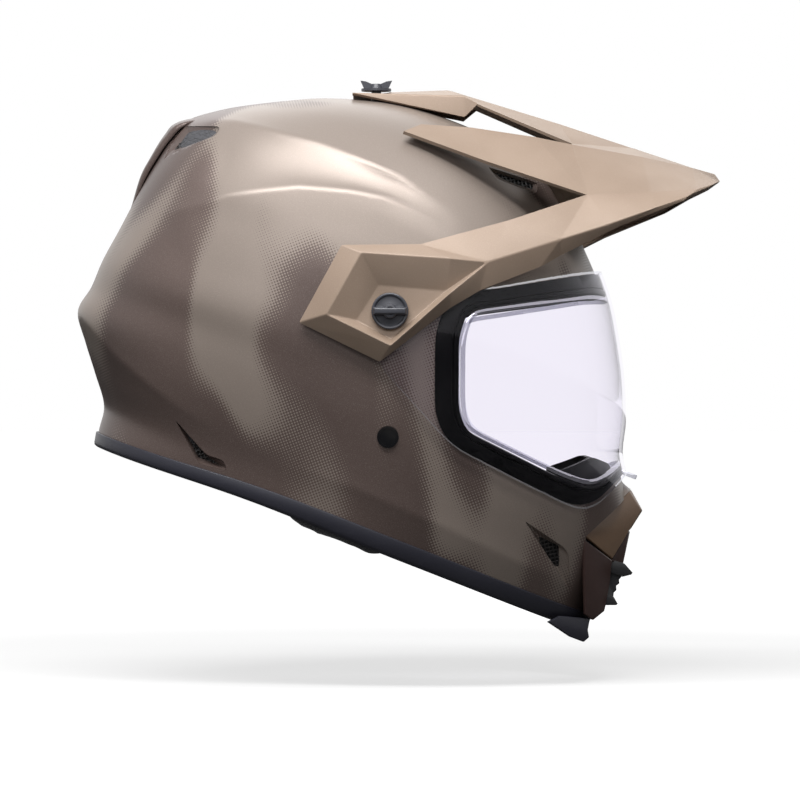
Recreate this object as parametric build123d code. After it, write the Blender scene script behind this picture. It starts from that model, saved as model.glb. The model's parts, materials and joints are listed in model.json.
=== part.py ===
from build123d import *
from functools import lru_cache
from math import radians, sqrt
import os

# Dual sport helmet, millimetres, Z up, X forward, Y to the wearer's left.
# The origin is the middle of the pivot axis of the shield and the visor.
# Most pieces are drawn with the lower rim level and then tipped forward by RIM_TILT.

# Shell
SHELL_LENGTH = 367.0
SHELL_HEIGHT = 269.0
SHELL_HALF_WIDTH = 119.0
SHELL_WALL = 3.6
RIM_TILT = 20.8
OVERRUN = 60.0
BODY_GAP = 0.4
MOVING_GAP = 0.3

# Each row holds height, front, rear, half width, front fullness, rear fullness and lean,
# as shares of the shell's height, length, length and half width.
SHELL_LEVEL_SHARES = [
    (-0.5390, 0.4850, 0.3790, 0.855, 0.700, 0.740, 0.00),
    (-0.4758, 0.4905, 0.3880, 0.882, 0.700, 0.740, 0.00),
    (-0.4275, 0.4959, 0.3930, 0.903, 0.705, 0.740, 0.00),
    (-0.3606, 0.4986, 0.4278, 0.933, 0.710, 0.735, 0.00),
    (-0.3048, 0.4986, 0.4591, 0.954, 0.715, 0.730, 0.00),
    (-0.2416, 0.4905, 0.4891, 0.975, 0.720, 0.720, 0.00),
    (-0.1822, 0.4687, 0.4837, 0.987, 0.735, 0.730, 0.00),
    (-0.1227, 0.4373, 0.4823, 0.996, 0.750, 0.740, 0.00),
    (-0.0372, 0.4183, 0.4741, 1.000, 0.760, 0.740, 0.00),
    (0.0558, 0.3896, 0.4659, 0.996, 0.760, 0.730, 0.05),
    (0.1301, 0.3597, 0.4578, 0.975, 0.760, 0.720, 0.12),
    (0.1933, 0.3311, 0.4496, 0.937, 0.750, 0.700, 0.25),
    (0.2565, 0.2932, 0.4305, 0.866, 0.735, 0.680, 0.45),
    (0.2974, 0.2643, 0.3896, 0.798, 0.725, 0.680, 0.60),
    (0.3346, 0.2371, 0.3433, 0.719, 0.720, 0.690, 0.68),
    (0.3717, 0.2016, 0.2916, 0.622, 0.715, 0.700, 0.76),
    (0.4052, 0.1703, 0.2398, 0.504, 0.710, 0.705, 0.84),
    (0.4312, 0.1308, 0.1853, 0.382, 0.707, 0.707, 0.91),
    (0.4498, 0.0926, 0.1390, 0.265, 0.707, 0.707, 0.96),
    (0.4610, 0.0518, 0.0872, 0.151, 0.707, 0.707, 0.99),
]
CROWN_SHARES = (-0.0190, 0.4647)

# The lower rim seen from the side, as shares of length and height.
RIM_SHARES = [(-0.600, -0.491), (-0.324, -0.481), (-0.095, -0.461), (0.163, -0.462),
              (0.425, -0.471), (0.600, -0.478)]
TRIM_DROP = 11.5
TRIM_LAP = 3.5
TRIM_PROUD = 1.6
TRIM_GRIP = 2.0

# Eyeport and its gasket, seen from the side
EYEPORT_SHARES = [(0.112, 0.067), (0.300, 0.208), (0.600, 0.300), (0.600, -0.185),
                  (0.470, -0.190), (0.343, -0.212), (0.181, -0.190), (0.155, -0.150),
                  (0.114, 0.000)]
GASKET_WIDTH = 9.0
GASKET_THICKNESS = 1.7

# Shield, its ears and their pivots
SHIELD_GAP = 2.3
SHIELD_THICKNESS = 2.2
SHIELD_SHARES = [(0.000, 0.086), (0.124, 0.114), (0.306, 0.262), (0.600, 0.378),
                 (0.600, -0.141), (0.460, -0.141), (0.441, -0.178), (0.417, -0.247),
                 (0.394, -0.264), (0.272, -0.245), (0.169, -0.227), (0.114, -0.189),
                 (0.007, -0.113), (0.000, 0.000)]
EAR_RADIUS = 24.0
EAR_RIB_WIDTH = 6.5
EAR_RIB_DEPTH = 1.0
LAND_RISE = 0.4
PLATE_RADIUS = 15.0
HUB_RADIUS = 8.8
PIVOT_PLAY = 0.08
TAB_WIDTH = 26.0
TAB_REACH = 5.5
TAB_THICKNESS = 3.0
TAB_HEIGHT_SHARE = -0.146

# Visor
VISOR_THICKNESS = 2.0
POD_RISE = 7.9
# Each point holds length, half width and height, as shares of the shell's.
BLADE_SHARES = {
    "tongue_back": (-0.1902, 0.000, 0.4442),
    "tongue_back_side": (-0.1902, 0.168, 0.4409),
    "ridge_start": (-0.0433, 0.000, 0.5289),
    "tongue_front_side": (-0.0152, 0.185, 0.5234),
    "tongue_foot": (-0.0014, 0.190, 0.4790),
    "ridge_side": (0.0116, 0.185, 0.5186),
    "ridge_middle": (0.1516, 0.000, 0.5473),
    "ridge_side_front": (0.1833, 0.202, 0.5085),
    "ridge_fore": (0.2816, 0.000, 0.5550),
    "crease_fore": (0.2963, 0.320, 0.5331),
    "ridge_end": (0.3842, 0.000, 0.5605),
    "crease_end": (0.3805, 0.252, 0.5519),
    "tip": (0.4244, 0.000, 0.5654),
    "nose": (0.4365, 0.000, 0.5543),
    "nose_side": (0.4195, 0.320, 0.5433),
    "fin_tip_top": (-0.0626, 0.521, 0.4193),
    "fin_tip": (-0.0840, 0.672, 0.3874),
    "fin_back_top": (0.0157, 0.504, 0.4527),
    "fin_middle_top": (0.1198, 0.471, 0.4846),
    "fin_root_top": (0.1820, 0.420, 0.5009),
    "fin_middle": (0.0625, 0.726, 0.3888),
    "fin_root": (0.2325, 0.727, 0.3981),
    "cheek_fore": (0.3256, 0.672, 0.4554),
    "cheek_end": (0.3956, 0.605, 0.4998),
    "cheek_nose": (0.4116, 0.504, 0.5172),
    "arm_top": (0.1286, 0.926, 0.2775),
    "arm_crease": (0.2144, 0.941, 0.2805),
    "blade_crease": (0.2783, 0.857, 0.3502),
    "blade_crease_fore": (0.3408, 0.782, 0.4236),
    "blade_crease_end": (0.3847, 0.706, 0.4757),
    "arm_edge_back": (0.1238, 1.030, 0.1139),
    "arm_edge": (0.2011, 0.942, 0.2100),
    "arm_edge_fore": (0.2240, 0.899, 0.2480),
    "blade_edge": (0.2991, 0.815, 0.3591),
    "blade_edge_fore": (0.3801, 0.723, 0.4616),
    "blade_edge_end": (0.4123, 0.538, 0.5013),
}
# Each point holds length and height as shares of the shell's, and the share of the pod's rise.
POD_SHARES = {
    "pod_back_top": (-0.1098, 0.0981, -0.27),
    "pod_back": (-0.1294, -0.0930, -0.58),
    "pod_bottom": (0.0134, -0.1109, 0.00),
    "pod_front": (0.0883, 0.0534, 0.00),
    "pod_top": (0.0172, 0.1591, 0.02),
    "crest_back_top": (-0.0760, 0.0973, 0.90),
    "crest_back": (-0.0929, -0.0557, 0.90),
    "crest_bottom": (0.0210, -0.0691, 1.00),
    "crest_front": (0.0796, 0.0836, 0.90),
    "crest_nose": (0.1188, 0.1766, -0.10),
    "crest_top": (0.0600, 0.1539, 0.85),
    "floor_back_top": (-0.0316, 0.0442, 0.00),
    "floor_back": (-0.0455, -0.0446, 0.00),
    "floor_bottom": (0.0177, -0.0569, 0.00),
    "floor_front": (0.0728, 0.0848, 0.00),
}
VISOR_FACETS = [
    ("tongue_back", "tongue_back_side", "tongue_front_side", "ridge_start"),
    ("tongue_back_side", "tongue_foot", "tongue_front_side"),
    ("tongue_front_side", "tongue_foot", "ridge_side"),
    ("ridge_start", "tongue_front_side", "ridge_side"),
    ("ridge_start", "ridge_side", "ridge_side_front", "ridge_middle"),
    ("ridge_middle", "ridge_side_front", "ridge_fore"),
    ("ridge_side_front", "crease_fore", "ridge_fore"),
    ("ridge_fore", "crease_fore", "crease_end", "ridge_end"),
    ("ridge_end", "crease_end", "tip"),
    ("crease_end", "nose_side", "nose", "tip"),
    ("ridge_side_front", "fin_root_top", "crease_fore"),
    ("fin_tip_top", "fin_tip", "fin_middle", "fin_back_top"),
    ("fin_back_top", "fin_middle", "fin_root", "fin_middle_top"),
    ("fin_middle_top", "fin_root", "fin_root_top"),
    ("fin_root_top", "fin_root", "cheek_fore", "crease_fore"),
    ("crease_fore", "cheek_fore", "cheek_end", "crease_end"),
    ("crease_end", "cheek_end", "cheek_nose", "nose_side"),
    ("arm_top", "arm_crease", "fin_root"),
    ("arm_crease", "blade_crease", "fin_root"),
    ("fin_root", "blade_crease", "blade_crease_fore", "cheek_fore"),
    ("cheek_fore", "blade_crease_fore", "blade_crease_end", "cheek_end"),
    ("pod_top", "crest_nose", "arm_top"),
    ("crest_nose", "arm_crease", "arm_top"),
    ("crest_nose", "arm_edge_back", "arm_edge", "arm_crease"),
    ("arm_crease", "arm_edge", "arm_edge_fore"),
    ("arm_crease", "arm_edge_fore", "blade_edge", "blade_crease"),
    ("blade_crease", "blade_edge", "blade_crease_fore"),
    ("blade_crease_fore", "blade_edge", "blade_edge_fore", "blade_crease_end"),
    ("blade_crease_end", "blade_edge_fore", "blade_edge_end"),
    ("blade_crease_end", "blade_edge_end", "cheek_nose", "cheek_end"),
    ("pod_back_top", "pod_back", "crest_back", "crest_back_top"),
    ("pod_back", "pod_bottom", "crest_bottom", "crest_back"),
    ("pod_bottom", "pod_front", "crest_front", "crest_bottom"),
    ("pod_front", "arm_edge_back", "crest_nose", "crest_front"),
    ("pod_top", "pod_back_top", "crest_back_top", "crest_top"),
    ("pod_top", "crest_top", "crest_nose"),
    ("crest_back_top", "crest_back", "floor_back", "floor_back_top"),
    ("crest_back", "crest_bottom", "floor_bottom", "floor_back"),
    ("crest_bottom", "crest_front", "floor_front", "floor_bottom"),
    ("crest_top", "crest_back_top", "floor_back_top", "floor_front"),
    ("crest_nose", "crest_top", "floor_front"),
    ("crest_front", "crest_nose", "floor_front"),
    ("floor_back_top", "floor_back", "floor_bottom", "floor_front"),
]
TILT_RANGE = 2.0

# Side visor screws and their inserts
KNOB_RADIUS = 10.8
KNOB_RIM = 3.0
KNOB_RIDGE_WIDTH = 4.4
KNOB_RIDGE_RISE = 3.6
KNOB_HUB_RADIUS = 4.0
KNOB_STEP = 0.9
SCREW_RADIUS = 3.0
SCREW_REACH = 14.0
INSERT_RADIUS = 5.0
INSERT_DEPTH = 8.0
INSERT_FLANGE = 7.5
INSERT_FLANGE_THICKNESS = 1.5

# Top visor screw and its slot
TOP_SCREW_PLACE = -8.7
TOP_SCREW_SEAT = 137.9
TOP_DISC_RADIUS = 9.2
TOP_DISC_THICKNESS = 1.5
WING_SPAN = 12.5
WING_THICKNESS = 2.2
WING_RISE = 5.0
SLOT_PLAY = 0.5

# Vents, seen from the side, as shares of length and height
UPPER_VENT_SHARES = [(-0.446, 0.132), (-0.426, 0.229), (-0.378, 0.252), (-0.368, 0.236),
                     (-0.422, 0.176)]
LOWER_VENT_SHARES = [(-0.262, -0.392), (-0.205, -0.452), (-0.158, -0.443), (-0.168, -0.436),
                     (-0.192, -0.440), (-0.235, -0.414)]
CHIN_VENT_SHARES = [(0.338, -0.335), (0.400, -0.352), (0.414, -0.392), (0.400, -0.402)]
BROW_VENT_SHARES = [(0.066, 0.386), (0.150, 0.391), (0.156, 0.352), (0.106, 0.362),
                    (0.085, 0.364)]
VENT_NEAR_SHARE = 0.20
GRILLE_SEAT = 1.2
GRILLE_THICKNESS = 1.6
GRILLE_FIT = 0.15
GRILLE_BARS = 4
GRILLE_BAR_SHARE = 0.4

# Rear spoiler strip
SPOILER_HALF_WIDTH = 24.0
SPOILER_PROUD = 4.6
SPOILER_HEIGHT_SHARES = (-0.010, 0.270)
SPOILER_REACH_SHARE = -0.385

# Chin front
COWL_SHARES = [(0.462, -0.155), (0.600, -0.150), (0.600, -0.345), (0.484, -0.345),
               (0.430, -0.315), (0.445, -0.250)]
COWL_LEVEL_SHARES = [(-0.145, 0.4600), (-0.181, 0.4850), (-0.213, 0.5115), (-0.268, 0.5040),
                     (-0.310, 0.5070), (-0.350, 0.5080)]
COWL_WALL = 2.4
PANEL_SHARES = [(0.437, -0.330), (0.600, -0.352), (0.600, -0.470), (0.472, -0.466),
                (0.430, -0.440)]
PANEL_PROUD = 2.2
MOUTH_HALF_WIDTH = 25.0
MOUTH_SHARES = [(0.420, -0.365), (0.600, -0.365), (0.600, -0.450), (0.420, -0.450)]
MOUTH_PROUD = 7.5
MOUTH_DEPTH = 4.4
MOUTH_BARS = 4
MOUTH_BAR_SHARE = 0.5
SHUTTER_THICKNESS = 1.8
SHUTTER_HALF_WIDTH = 18.0
SHUTTER_SHARES = (-0.437, -0.375)
SHUTTER_TRAVEL = 8.0
SHUTTER_PLACE_SHARE = 0.4725

# Breath guard, seen from the side
GUARD_SHARES = [(0.386, -0.214), (0.349, -0.205), (0.402, -0.133), (0.440, -0.131),
                (0.460, -0.160), (0.424, -0.211)]
GUARD_INSET = 4.4
GUARD_THICKNESS = 2.5

# Head space, in the worn attitude
HEAD_HALF_LENGTH = 110.0
HEAD_HALF_WIDTH = 84.0
HEAD_CROWN = 99.0
HEAD_BACK = -26.0
HEAD_DROP = -5.0
HEAD_DEPTH = 240.0

# Liners and pads, seen from the side
LINER_SHARES = [(-0.560, -0.330), (-0.190, -0.330), (-0.140, -0.170), (0.065, -0.130),
                (0.095, 0.000), (0.095, 0.100), (0.270, 0.235), (0.600, 0.330),
                (0.600, 0.600), (-0.560, 0.600)]
COMFORT_SHARES = [(-0.560, -0.310), (-0.200, -0.310), (-0.150, -0.150), (0.050, -0.110),
                  (0.080, 0.000), (0.080, 0.110), (0.270, 0.245), (0.600, 0.340),
                  (0.600, 0.600), (-0.560, 0.600)]
COMFORT_THICKNESS = 8.0
CHANNEL_WIDTH = 7.0
CHANNEL_DEPTH = 4.0
CHANNEL_SHARES = (-0.42, 0.42)
CHEEK_SHARES = [(-0.130, -0.185), (0.060, -0.150), (0.140, -0.170), (0.180, -0.225),
                (0.268, -0.250), (0.268, -0.400), (0.120, -0.436), (-0.080, -0.436),
                (-0.150, -0.340)]
CHEEK_FOAM_FACE = 88.0
CHEEK_PAD_DEPTH = 23.0
CHEEK_PAD_ROUND = 7.0
CHIN_FOAM_SHARES = [(0.310, -0.245), (0.600, -0.225), (0.600, -0.460), (0.310, -0.455)]
CHIN_FOAM_THICKNESS = 17.0
CHIN_PASSAGE_MARGIN = 6.0
NECK_ROLL_SHARES = [(-0.600, -0.340), (-0.200, -0.340), (-0.165, -0.425), (-0.200, -0.458),
                    (-0.600, -0.478)]
NECK_ROLL_THICKNESS = 19.0

# Strap rivets, straps and rings
RIVET_SHARES = (0.0684, -0.2584)
RIVET_HEAD_RADIUS = 6.3
RIVET_HEAD_DEPTH = 1.4
RIVET_RADIUS = 2.9
RIVET_SET = 0.6
RIVET_FLOOR = 0.9
ANCHOR_RADIUS = 8.5
ANCHOR_THICKNESS = 1.2
STRAP_WIDTH = 25.0
STRAP_THICKNESS = 2.0
STRAP_CLEARANCE = 3.8
STRAP_BEND = 9.0
STRAP_LAP = 12.0
STRAP_DROP_SHARES = (-0.3000, -0.4400, -0.4650, -0.4700)
STRAP_SIDE_SHARES = (0.815, 0.540)
RING_PLACE_SHARE = 0.42
RING_WIDTH = 27.0
RING_REACH = 21.0
RING_RADIUS = 1.75
RING_BEND = 8.0
RING_PITCH = 4.8
RIGHT_STRAP_END_SHARE = 0.10


def along(share):
    return SHELL_LENGTH * share


def up(share):
    return SHELL_HEIGHT * share


def across(share):
    return SHELL_HALF_WIDTH * share


def level_section(level, inset, proud=0):
    # One closed curve round the helmet, moved inwards by the inset along the wall's slope.
    height, front, rear, width, front_full, rear_full, lean = level
    side = inset * sqrt(1 - lean ** 2)
    nose = along(front) - side + proud
    tail = along(rear) - side
    half_width = across(width) - side
    middle = (nose - tail) / 2
    half = (nose + tail) / 2
    fore = [(nose, 0), (middle + half * front_full, half_width * front_full),
            (middle, half_width)]
    aft = [(middle, half_width), (middle - half * rear_full, half_width * rear_full),
           (-tail, 0)]
    aft_right = [(x, -y) for x, y in reversed(aft)]
    fore_right = [(x, -y) for x, y in reversed(fore)]
    outline = [Spline(fore, tangents=[(0, 1), (-1, 0)]),
               Spline(aft, tangents=[(-1, 0), (0, -1)]),
               Spline(aft_right, tangents=[(0, -1), (1, 0)]),
               Spline(fore_right, tangents=[(1, 0), (0, 1)])]
    return Pos(0, 0, up(height) - inset * lean) * make_face(outline)


@lru_cache(maxsize=None)
def hull(inset):
    # The whole closed form of the shell, moved inwards by the inset.
    sections = [level_section(level, inset) for level in SHELL_LEVEL_SHARES]
    crown = Vertex(along(CROWN_SHARES[0]), 0, up(CROWN_SHARES[1]) - inset)
    return loft(sections + [crown])


def side_outline(shares):
    return make_face(Polyline([(along(x), up(z)) for x, z in shares], close=True))


def side_prism(face, near, far):
    # A face drawn in the side view, carried across from one width to another.
    return extrude(Plane.XZ.offset(-near) * face, amount=far - near, dir=(0, 1, 0))


def through_prism(face):
    reach = SHELL_HALF_WIDTH + OVERRUN
    return side_prism(face, -reach, reach)


def arch_prism(rise, depth):
    # The band between two copies of the rim's side curve, rise above it and depth lower.
    top = Spline([(along(x), up(z) + rise) for x, z in RIM_SHARES])
    low = Spline([(along(x), up(z) + rise - depth) for x, z in RIM_SHARES])
    ends = [Line(top @ 0, low @ 0), Line(top @ 1, low @ 1)]
    return through_prism(make_face([top, low] + ends))


def side_cylinder(radius, near, far, place=(0, 0)):
    # A cylinder along the width at a place in the side view.
    disc = Pos(place[0], place[1]) * Circle(radius)
    return side_prism(disc, near, far)


def left_and_right(shape):
    return {"left": shape, "right": mirror(shape, about=Plane.XZ)}


def both_sides(shape):
    return shape + mirror(shape, about=Plane.XZ)


def from_worn(shape):
    # Brings a shape drawn in the worn attitude into the level-rim attitude.
    return Rot(0, -RIM_TILT, 0) * shape


def head_space(inset):
    # The rounded crown of the head space with its straight neck below, in the worn attitude.
    length = HEAD_HALF_LENGTH - inset
    width = HEAD_HALF_WIDTH - inset
    crown = scale(Sphere(1), by=(length, width, HEAD_CROWN - inset))
    neck = extrude(Ellipse(length, width), amount=-HEAD_DEPTH)
    return from_worn(Pos(HEAD_BACK, 0, HEAD_DROP) * (crown + neck))


# Planes of the pivot stack, measured outwards from the centre plane
LAND_PLANE = SHELL_HALF_WIDTH + LAND_RISE
EAR_PLANE = SHELL_HALF_WIDTH + SHIELD_GAP
PLATE_PLANE = EAR_PLANE - MOVING_GAP
EAR_FACE = EAR_PLANE + SHIELD_THICKNESS
HUB_PLANE = EAR_FACE + MOVING_GAP
POD_PLANE = HUB_PLANE + MOVING_GAP
POD_FLOOR = POD_PLANE + VISOR_THICKNESS
KNOB_PLANE = POD_FLOOR + BODY_GAP
INNER_SIDE = SHELL_HALF_WIDTH - SHELL_WALL
LAND_RADIUS = PLATE_RADIUS + BODY_GAP
LINER_INSET = SHELL_WALL + BODY_GAP

# Widths of the shell where the strap rivet passes, read from the level nearest to it
RIVET_PLACE = (along(RIVET_SHARES[0]), up(RIVET_SHARES[1]))
RIVET_SKIN = across(SHELL_LEVEL_SHARES[5][3]) - RIVET_SET
RIVET_INSIDE = RIVET_SKIN - SHELL_WALL - BODY_GAP
STRAP_OUTSIDE = RIVET_INSIDE - STRAP_CLEARANCE
STRAP_INSIDE = STRAP_OUTSIDE - STRAP_THICKNESS


def vent_cut(shares, margin=0):
    face = side_outline(shares)
    if margin:
        face = offset(face, -margin, kind=Kind.INTERSECTION)
    return side_prism(face, across(VENT_NEAR_SHARE), SHELL_HALF_WIDTH + OVERRUN)


def vent_grille(shares):
    # A thin plate of the shell's own curve with a row of slots, set inside its opening.
    plate = vent_cut(shares, GRILLE_FIT) & hull(GRILLE_SEAT)
    plate -= hull(GRILLE_SEAT + GRILLE_THICKNESS)
    low = min(z for x, z in shares)
    high = max(z for x, z in shares)
    pitch = up(high - low) / (GRILLE_BARS + 1)
    face = offset(side_outline(shares), -pitch * GRILLE_BAR_SHARE, kind=Kind.INTERSECTION)
    for row in range(GRILLE_BARS):
        centre = up(low) + pitch * (row + 1)
        slot = Pos(0, centre) * Rectangle(SHELL_LENGTH * 2, pitch * (1 - GRILLE_BAR_SHARE))
        cut = face & slot
        if cut.area > 0:
            plate -= side_prism(cut, 0, SHELL_HALF_WIDTH + OVERRUN)
    return plate


def spoiler_form(play=0):
    # The strip on the rear centre line, from the shell's skin out by SPOILER_PROUD.
    low, high = [up(share) for share in SPOILER_HEIGHT_SHARES]
    half = SPOILER_HALF_WIDTH
    foot = Plane.XY.offset(low - play) * Rectangle(SHELL_LENGTH * 2, (half * 0.45 + play) * 2)
    head = Plane.XY.offset(high + play) * Rectangle(SHELL_LENGTH * 2, (half + play) * 2)
    zone = loft([foot, head])
    behind = Pos(along(SPOILER_REACH_SHARE) - SHELL_LENGTH, 0, 0) * Box(
        SHELL_LENGTH * 2, SHELL_LENGTH, SHELL_LENGTH * 2)
    return zone & behind


def make_spoiler():
    return (hull(-SPOILER_PROUD) & spoiler_form()) - hull(-BODY_GAP / 4)


def cowl_form(proud):
    # The chin's form with its beak, which stands out most at the cowl's tip.
    sections = []
    for height, reach in COWL_LEVEL_SHARES:
        row = min(SHELL_LEVEL_SHARES, key=lambda level: abs(level[0] - height))
        sections.append(level_section((height, reach) + row[2:], -proud))
    return loft(sections)


def make_cowl():
    zone = through_prism(side_outline(COWL_SHARES))
    beak = (cowl_form(COWL_WALL / 2) & zone) - hull(-MOVING_GAP)
    hollow = cowl_form(-COWL_WALL / 2) & zone & mouth_zone(MOUTH_HALF_WIDTH)
    return beak - hollow


def mouth_zone(half_width):
    face = side_outline(MOUTH_SHARES)
    return side_prism(face, -half_width, half_width)


def make_chin_panel():
    zone = through_prism(side_outline(PANEL_SHARES)) & (hull(-PANEL_PROUD))
    panel = zone - hull(-MOVING_GAP) - mouth_zone(MOUTH_HALF_WIDTH + BODY_GAP)
    cowl_room = through_prism(offset(side_outline(COWL_SHARES), BODY_GAP))
    return panel - cowl_room


def make_mouth_grille():
    # A toothed grille that fills the mouth opening and stands proud of it.
    body = mouth_zone(MOUTH_HALF_WIDTH) & hull(-MOUTH_PROUD)
    body -= hull(MOUTH_DEPTH)
    low, high = up(MOUTH_SHARES[2][1]), up(MOUTH_SHARES[0][1])
    pitch = (high - low) / MOUTH_BARS
    gap = pitch * (1 - MOUTH_BAR_SHARE)
    for row in range(MOUTH_BARS):
        centre = low + pitch * (row + 0.5)
        slot = Pos(along(0.5), 0, centre) * Box(SHELL_LENGTH, (MOUTH_HALF_WIDTH - gap) * 2, gap)
        body -= slot
    return body


def make_shutter():
    low, high = [up(share) for share in SHUTTER_SHARES]
    plate = Pos(along(SHUTTER_PLACE_SHARE), 0, (low + high) / 2) * Box(
        SHUTTER_THICKNESS, SHUTTER_HALF_WIDTH * 2, high - low)
    lip = Pos(along(SHUTTER_PLACE_SHARE) - SHUTTER_THICKNESS, 0, high - SHUTTER_THICKNESS) * Box(
        SHUTTER_THICKNESS * 3, SHUTTER_HALF_WIDTH, SHUTTER_THICKNESS)
    return plate + lip


def rivet_seat(radius, near, far):
    return both_sides(side_cylinder(radius, near, far, RIVET_PLACE))


def make_shell():
    shell = hull(0) - hull(SHELL_WALL)
    shell -= arch_prism(-TRIM_LAP, SHELL_HEIGHT)
    shell -= through_prism(side_outline(EYEPORT_SHARES))
    for shares in (UPPER_VENT_SHARES, LOWER_VENT_SHARES, CHIN_VENT_SHARES, BROW_VENT_SHARES):
        shell -= both_sides(vent_cut(shares))
    shell -= mouth_zone(MOUTH_HALF_WIDTH + BODY_GAP)
    shell += both_sides(side_cylinder(LAND_RADIUS, INNER_SIDE - BODY_GAP, LAND_PLANE))
    shell -= both_sides(side_cylinder(INSERT_RADIUS, 0, LAND_PLANE + OVERRUN))
    shell -= rivet_seat(RIVET_RADIUS, 0, SHELL_HALF_WIDTH + OVERRUN)
    head_floor = RIVET_SKIN - RIVET_HEAD_DEPTH
    shell -= rivet_seat(RIVET_HEAD_RADIUS + BODY_GAP, head_floor, SHELL_HALF_WIDTH + OVERRUN)
    return shell - top_insert_room(INSERT_RADIUS)


def top_place(shape):
    return from_worn(Pos(TOP_SCREW_PLACE, 0, 0) * shape)


def top_insert_room(radius):
    return top_place(Pos(0, 0, TOP_SCREW_SEAT - OVERRUN) * Cylinder(
        radius, OVERRUN * 2, align=(Align.CENTER, Align.CENTER, Align.MIN)))


def crown_height():
    # Height of the shell's skin at the top screw, in the worn attitude.
    probe = top_place(Pos(0, 0, 0) * Cylinder(RIVET_SET, OVERRUN * 4, align=(
        Align.CENTER, Align.CENTER, Align.MIN)))
    worn = Rot(0, RIM_TILT, 0) * (probe & hull(0))
    return worn.bounding_box().max.Z


def band_on_shell(face, inside, outside):
    return (through_prism(face) & hull(-outside)) - hull(-inside)


def make_gasket():
    port = side_outline(EYEPORT_SHARES)
    ring = offset(port, GASKET_WIDTH) - port - offset(side_outline(COWL_SHARES), BODY_GAP)
    return band_on_shell(ring, BODY_GAP / 4, GASKET_THICKNESS)


def make_trim():
    # A rubber channel whose slot holds the shell's lower edge.
    band = arch_prism(0, TRIM_DROP)
    ring = (band & hull(-TRIM_PROUD)) - hull(SHELL_WALL + TRIM_GRIP)
    edge = arch_prism(BODY_GAP, TRIM_LAP + BODY_GAP * 2)
    return ring - ((edge & hull(0)) - hull(SHELL_WALL))


def make_shield():
    band = band_on_shell(side_outline(SHIELD_SHARES), SHIELD_GAP, SHIELD_GAP + SHIELD_THICKNESS)
    band -= both_sides(side_cylinder(LAND_RADIUS + BODY_GAP * 2, 0, EAR_FACE + OVERRUN))
    ear = side_cylinder(EAR_RADIUS, EAR_PLANE - EAR_RIB_DEPTH, EAR_FACE)
    ear -= side_cylinder(EAR_RADIUS - EAR_RIB_WIDTH, 0, EAR_PLANE)
    band += both_sides(ear)
    band -= both_sides(side_cylinder(HUB_RADIUS + PIVOT_PLAY, 0, EAR_FACE + OVERRUN))
    tab = Pos(along(0.452) + TAB_REACH, 0, up(TAB_HEIGHT_SHARE)) * Box(
        TAB_REACH * 2, TAB_WIDTH, TAB_THICKNESS)
    tab = fillet(tab.edges().filter_by(Axis.Z), TAB_REACH * 0.7)
    return band + (tab - hull(-SHIELD_GAP - SHIELD_THICKNESS / 2))


def visor_points():
    points = {}
    for name, (x, y, z) in BLADE_SHARES.items():
        points[name] = Vector(along(x), across(y), up(z))
    for name, (x, z, rise) in POD_SHARES.items():
        points[name] = Vector(along(x), POD_FLOOR + POD_RISE * rise, up(z))
    return points


def visor_triangles():
    # Splits each facet into triangles and mirrors them to the other side.
    halves = []
    for facet in VISOR_FACETS:
        for second, third in zip(facet[1:], facet[2:]):
            halves.append((facet[0], third, second))
    on_centre = {name for name, place in BLADE_SHARES.items() if place[1] == 0}
    triangles = []
    for corners in halves:
        triangles.append([(name, 1) for name in corners])
        triangles.append([(name, 1 if name in on_centre else -1) for name in reversed(corners)])
    return triangles


def make_blade():
    # Every corner moves inwards along the mean of its facets' directions to make the wall.
    half = visor_points()

    def place(key):
        point = half[key[0]]
        return Vector(point.X, point.Y * key[1], point.Z)

    triangles = visor_triangles()
    leaning = {}
    for corners in triangles:
        a, b, c = [place(key) for key in corners]
        normal = (b - a).cross(c - a)
        for key in corners:
            leaning[key] = leaning.get(key, Vector(0, 0, 0)) + normal.normalized()
    inner = {key: place(key) - leaning[key].normalized() * VISOR_THICKNESS for key in leaning}
    for key in inner:
        if key[0].startswith("floor"):
            inner[key] = Vector(place(key).X, POD_PLANE * key[1], place(key).Z)
    faces = []
    edges = {}
    for corners in triangles:
        faces.append(triangle([place(key) for key in corners]))
        faces.append(triangle([inner[key] for key in reversed(corners)]))
        for start, end in zip(corners, corners[1:] + corners[:1]):
            edges[(start, end)] = edges.get((start, end), 0) + 1
    for start, end in edges:
        if (end, start) not in edges:
            faces.append(triangle([place(end), place(start), inner[start]]))
            faces.append(triangle([place(end), inner[start], inner[end]]))
    return Solid(Shell(faces))


def triangle(corners):
    return Face(Wire.make_polygon(corners, close=True))


def make_visor():
    visor = make_blade()
    visor -= both_sides(side_cylinder(SCREW_RADIUS + MOVING_GAP, POD_PLANE - OVERRUN,
                                      POD_FLOOR + OVERRUN))
    travel = TOP_SCREW_SEAT * radians(TILT_RANGE)
    slot = SlotCenterToCenter(travel * 2, (SCREW_RADIUS + SLOT_PLAY) * 2)
    return visor - top_place(Pos(0, 0, TOP_SCREW_SEAT - OVERRUN / 2) * extrude(slot, OVERRUN))


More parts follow.
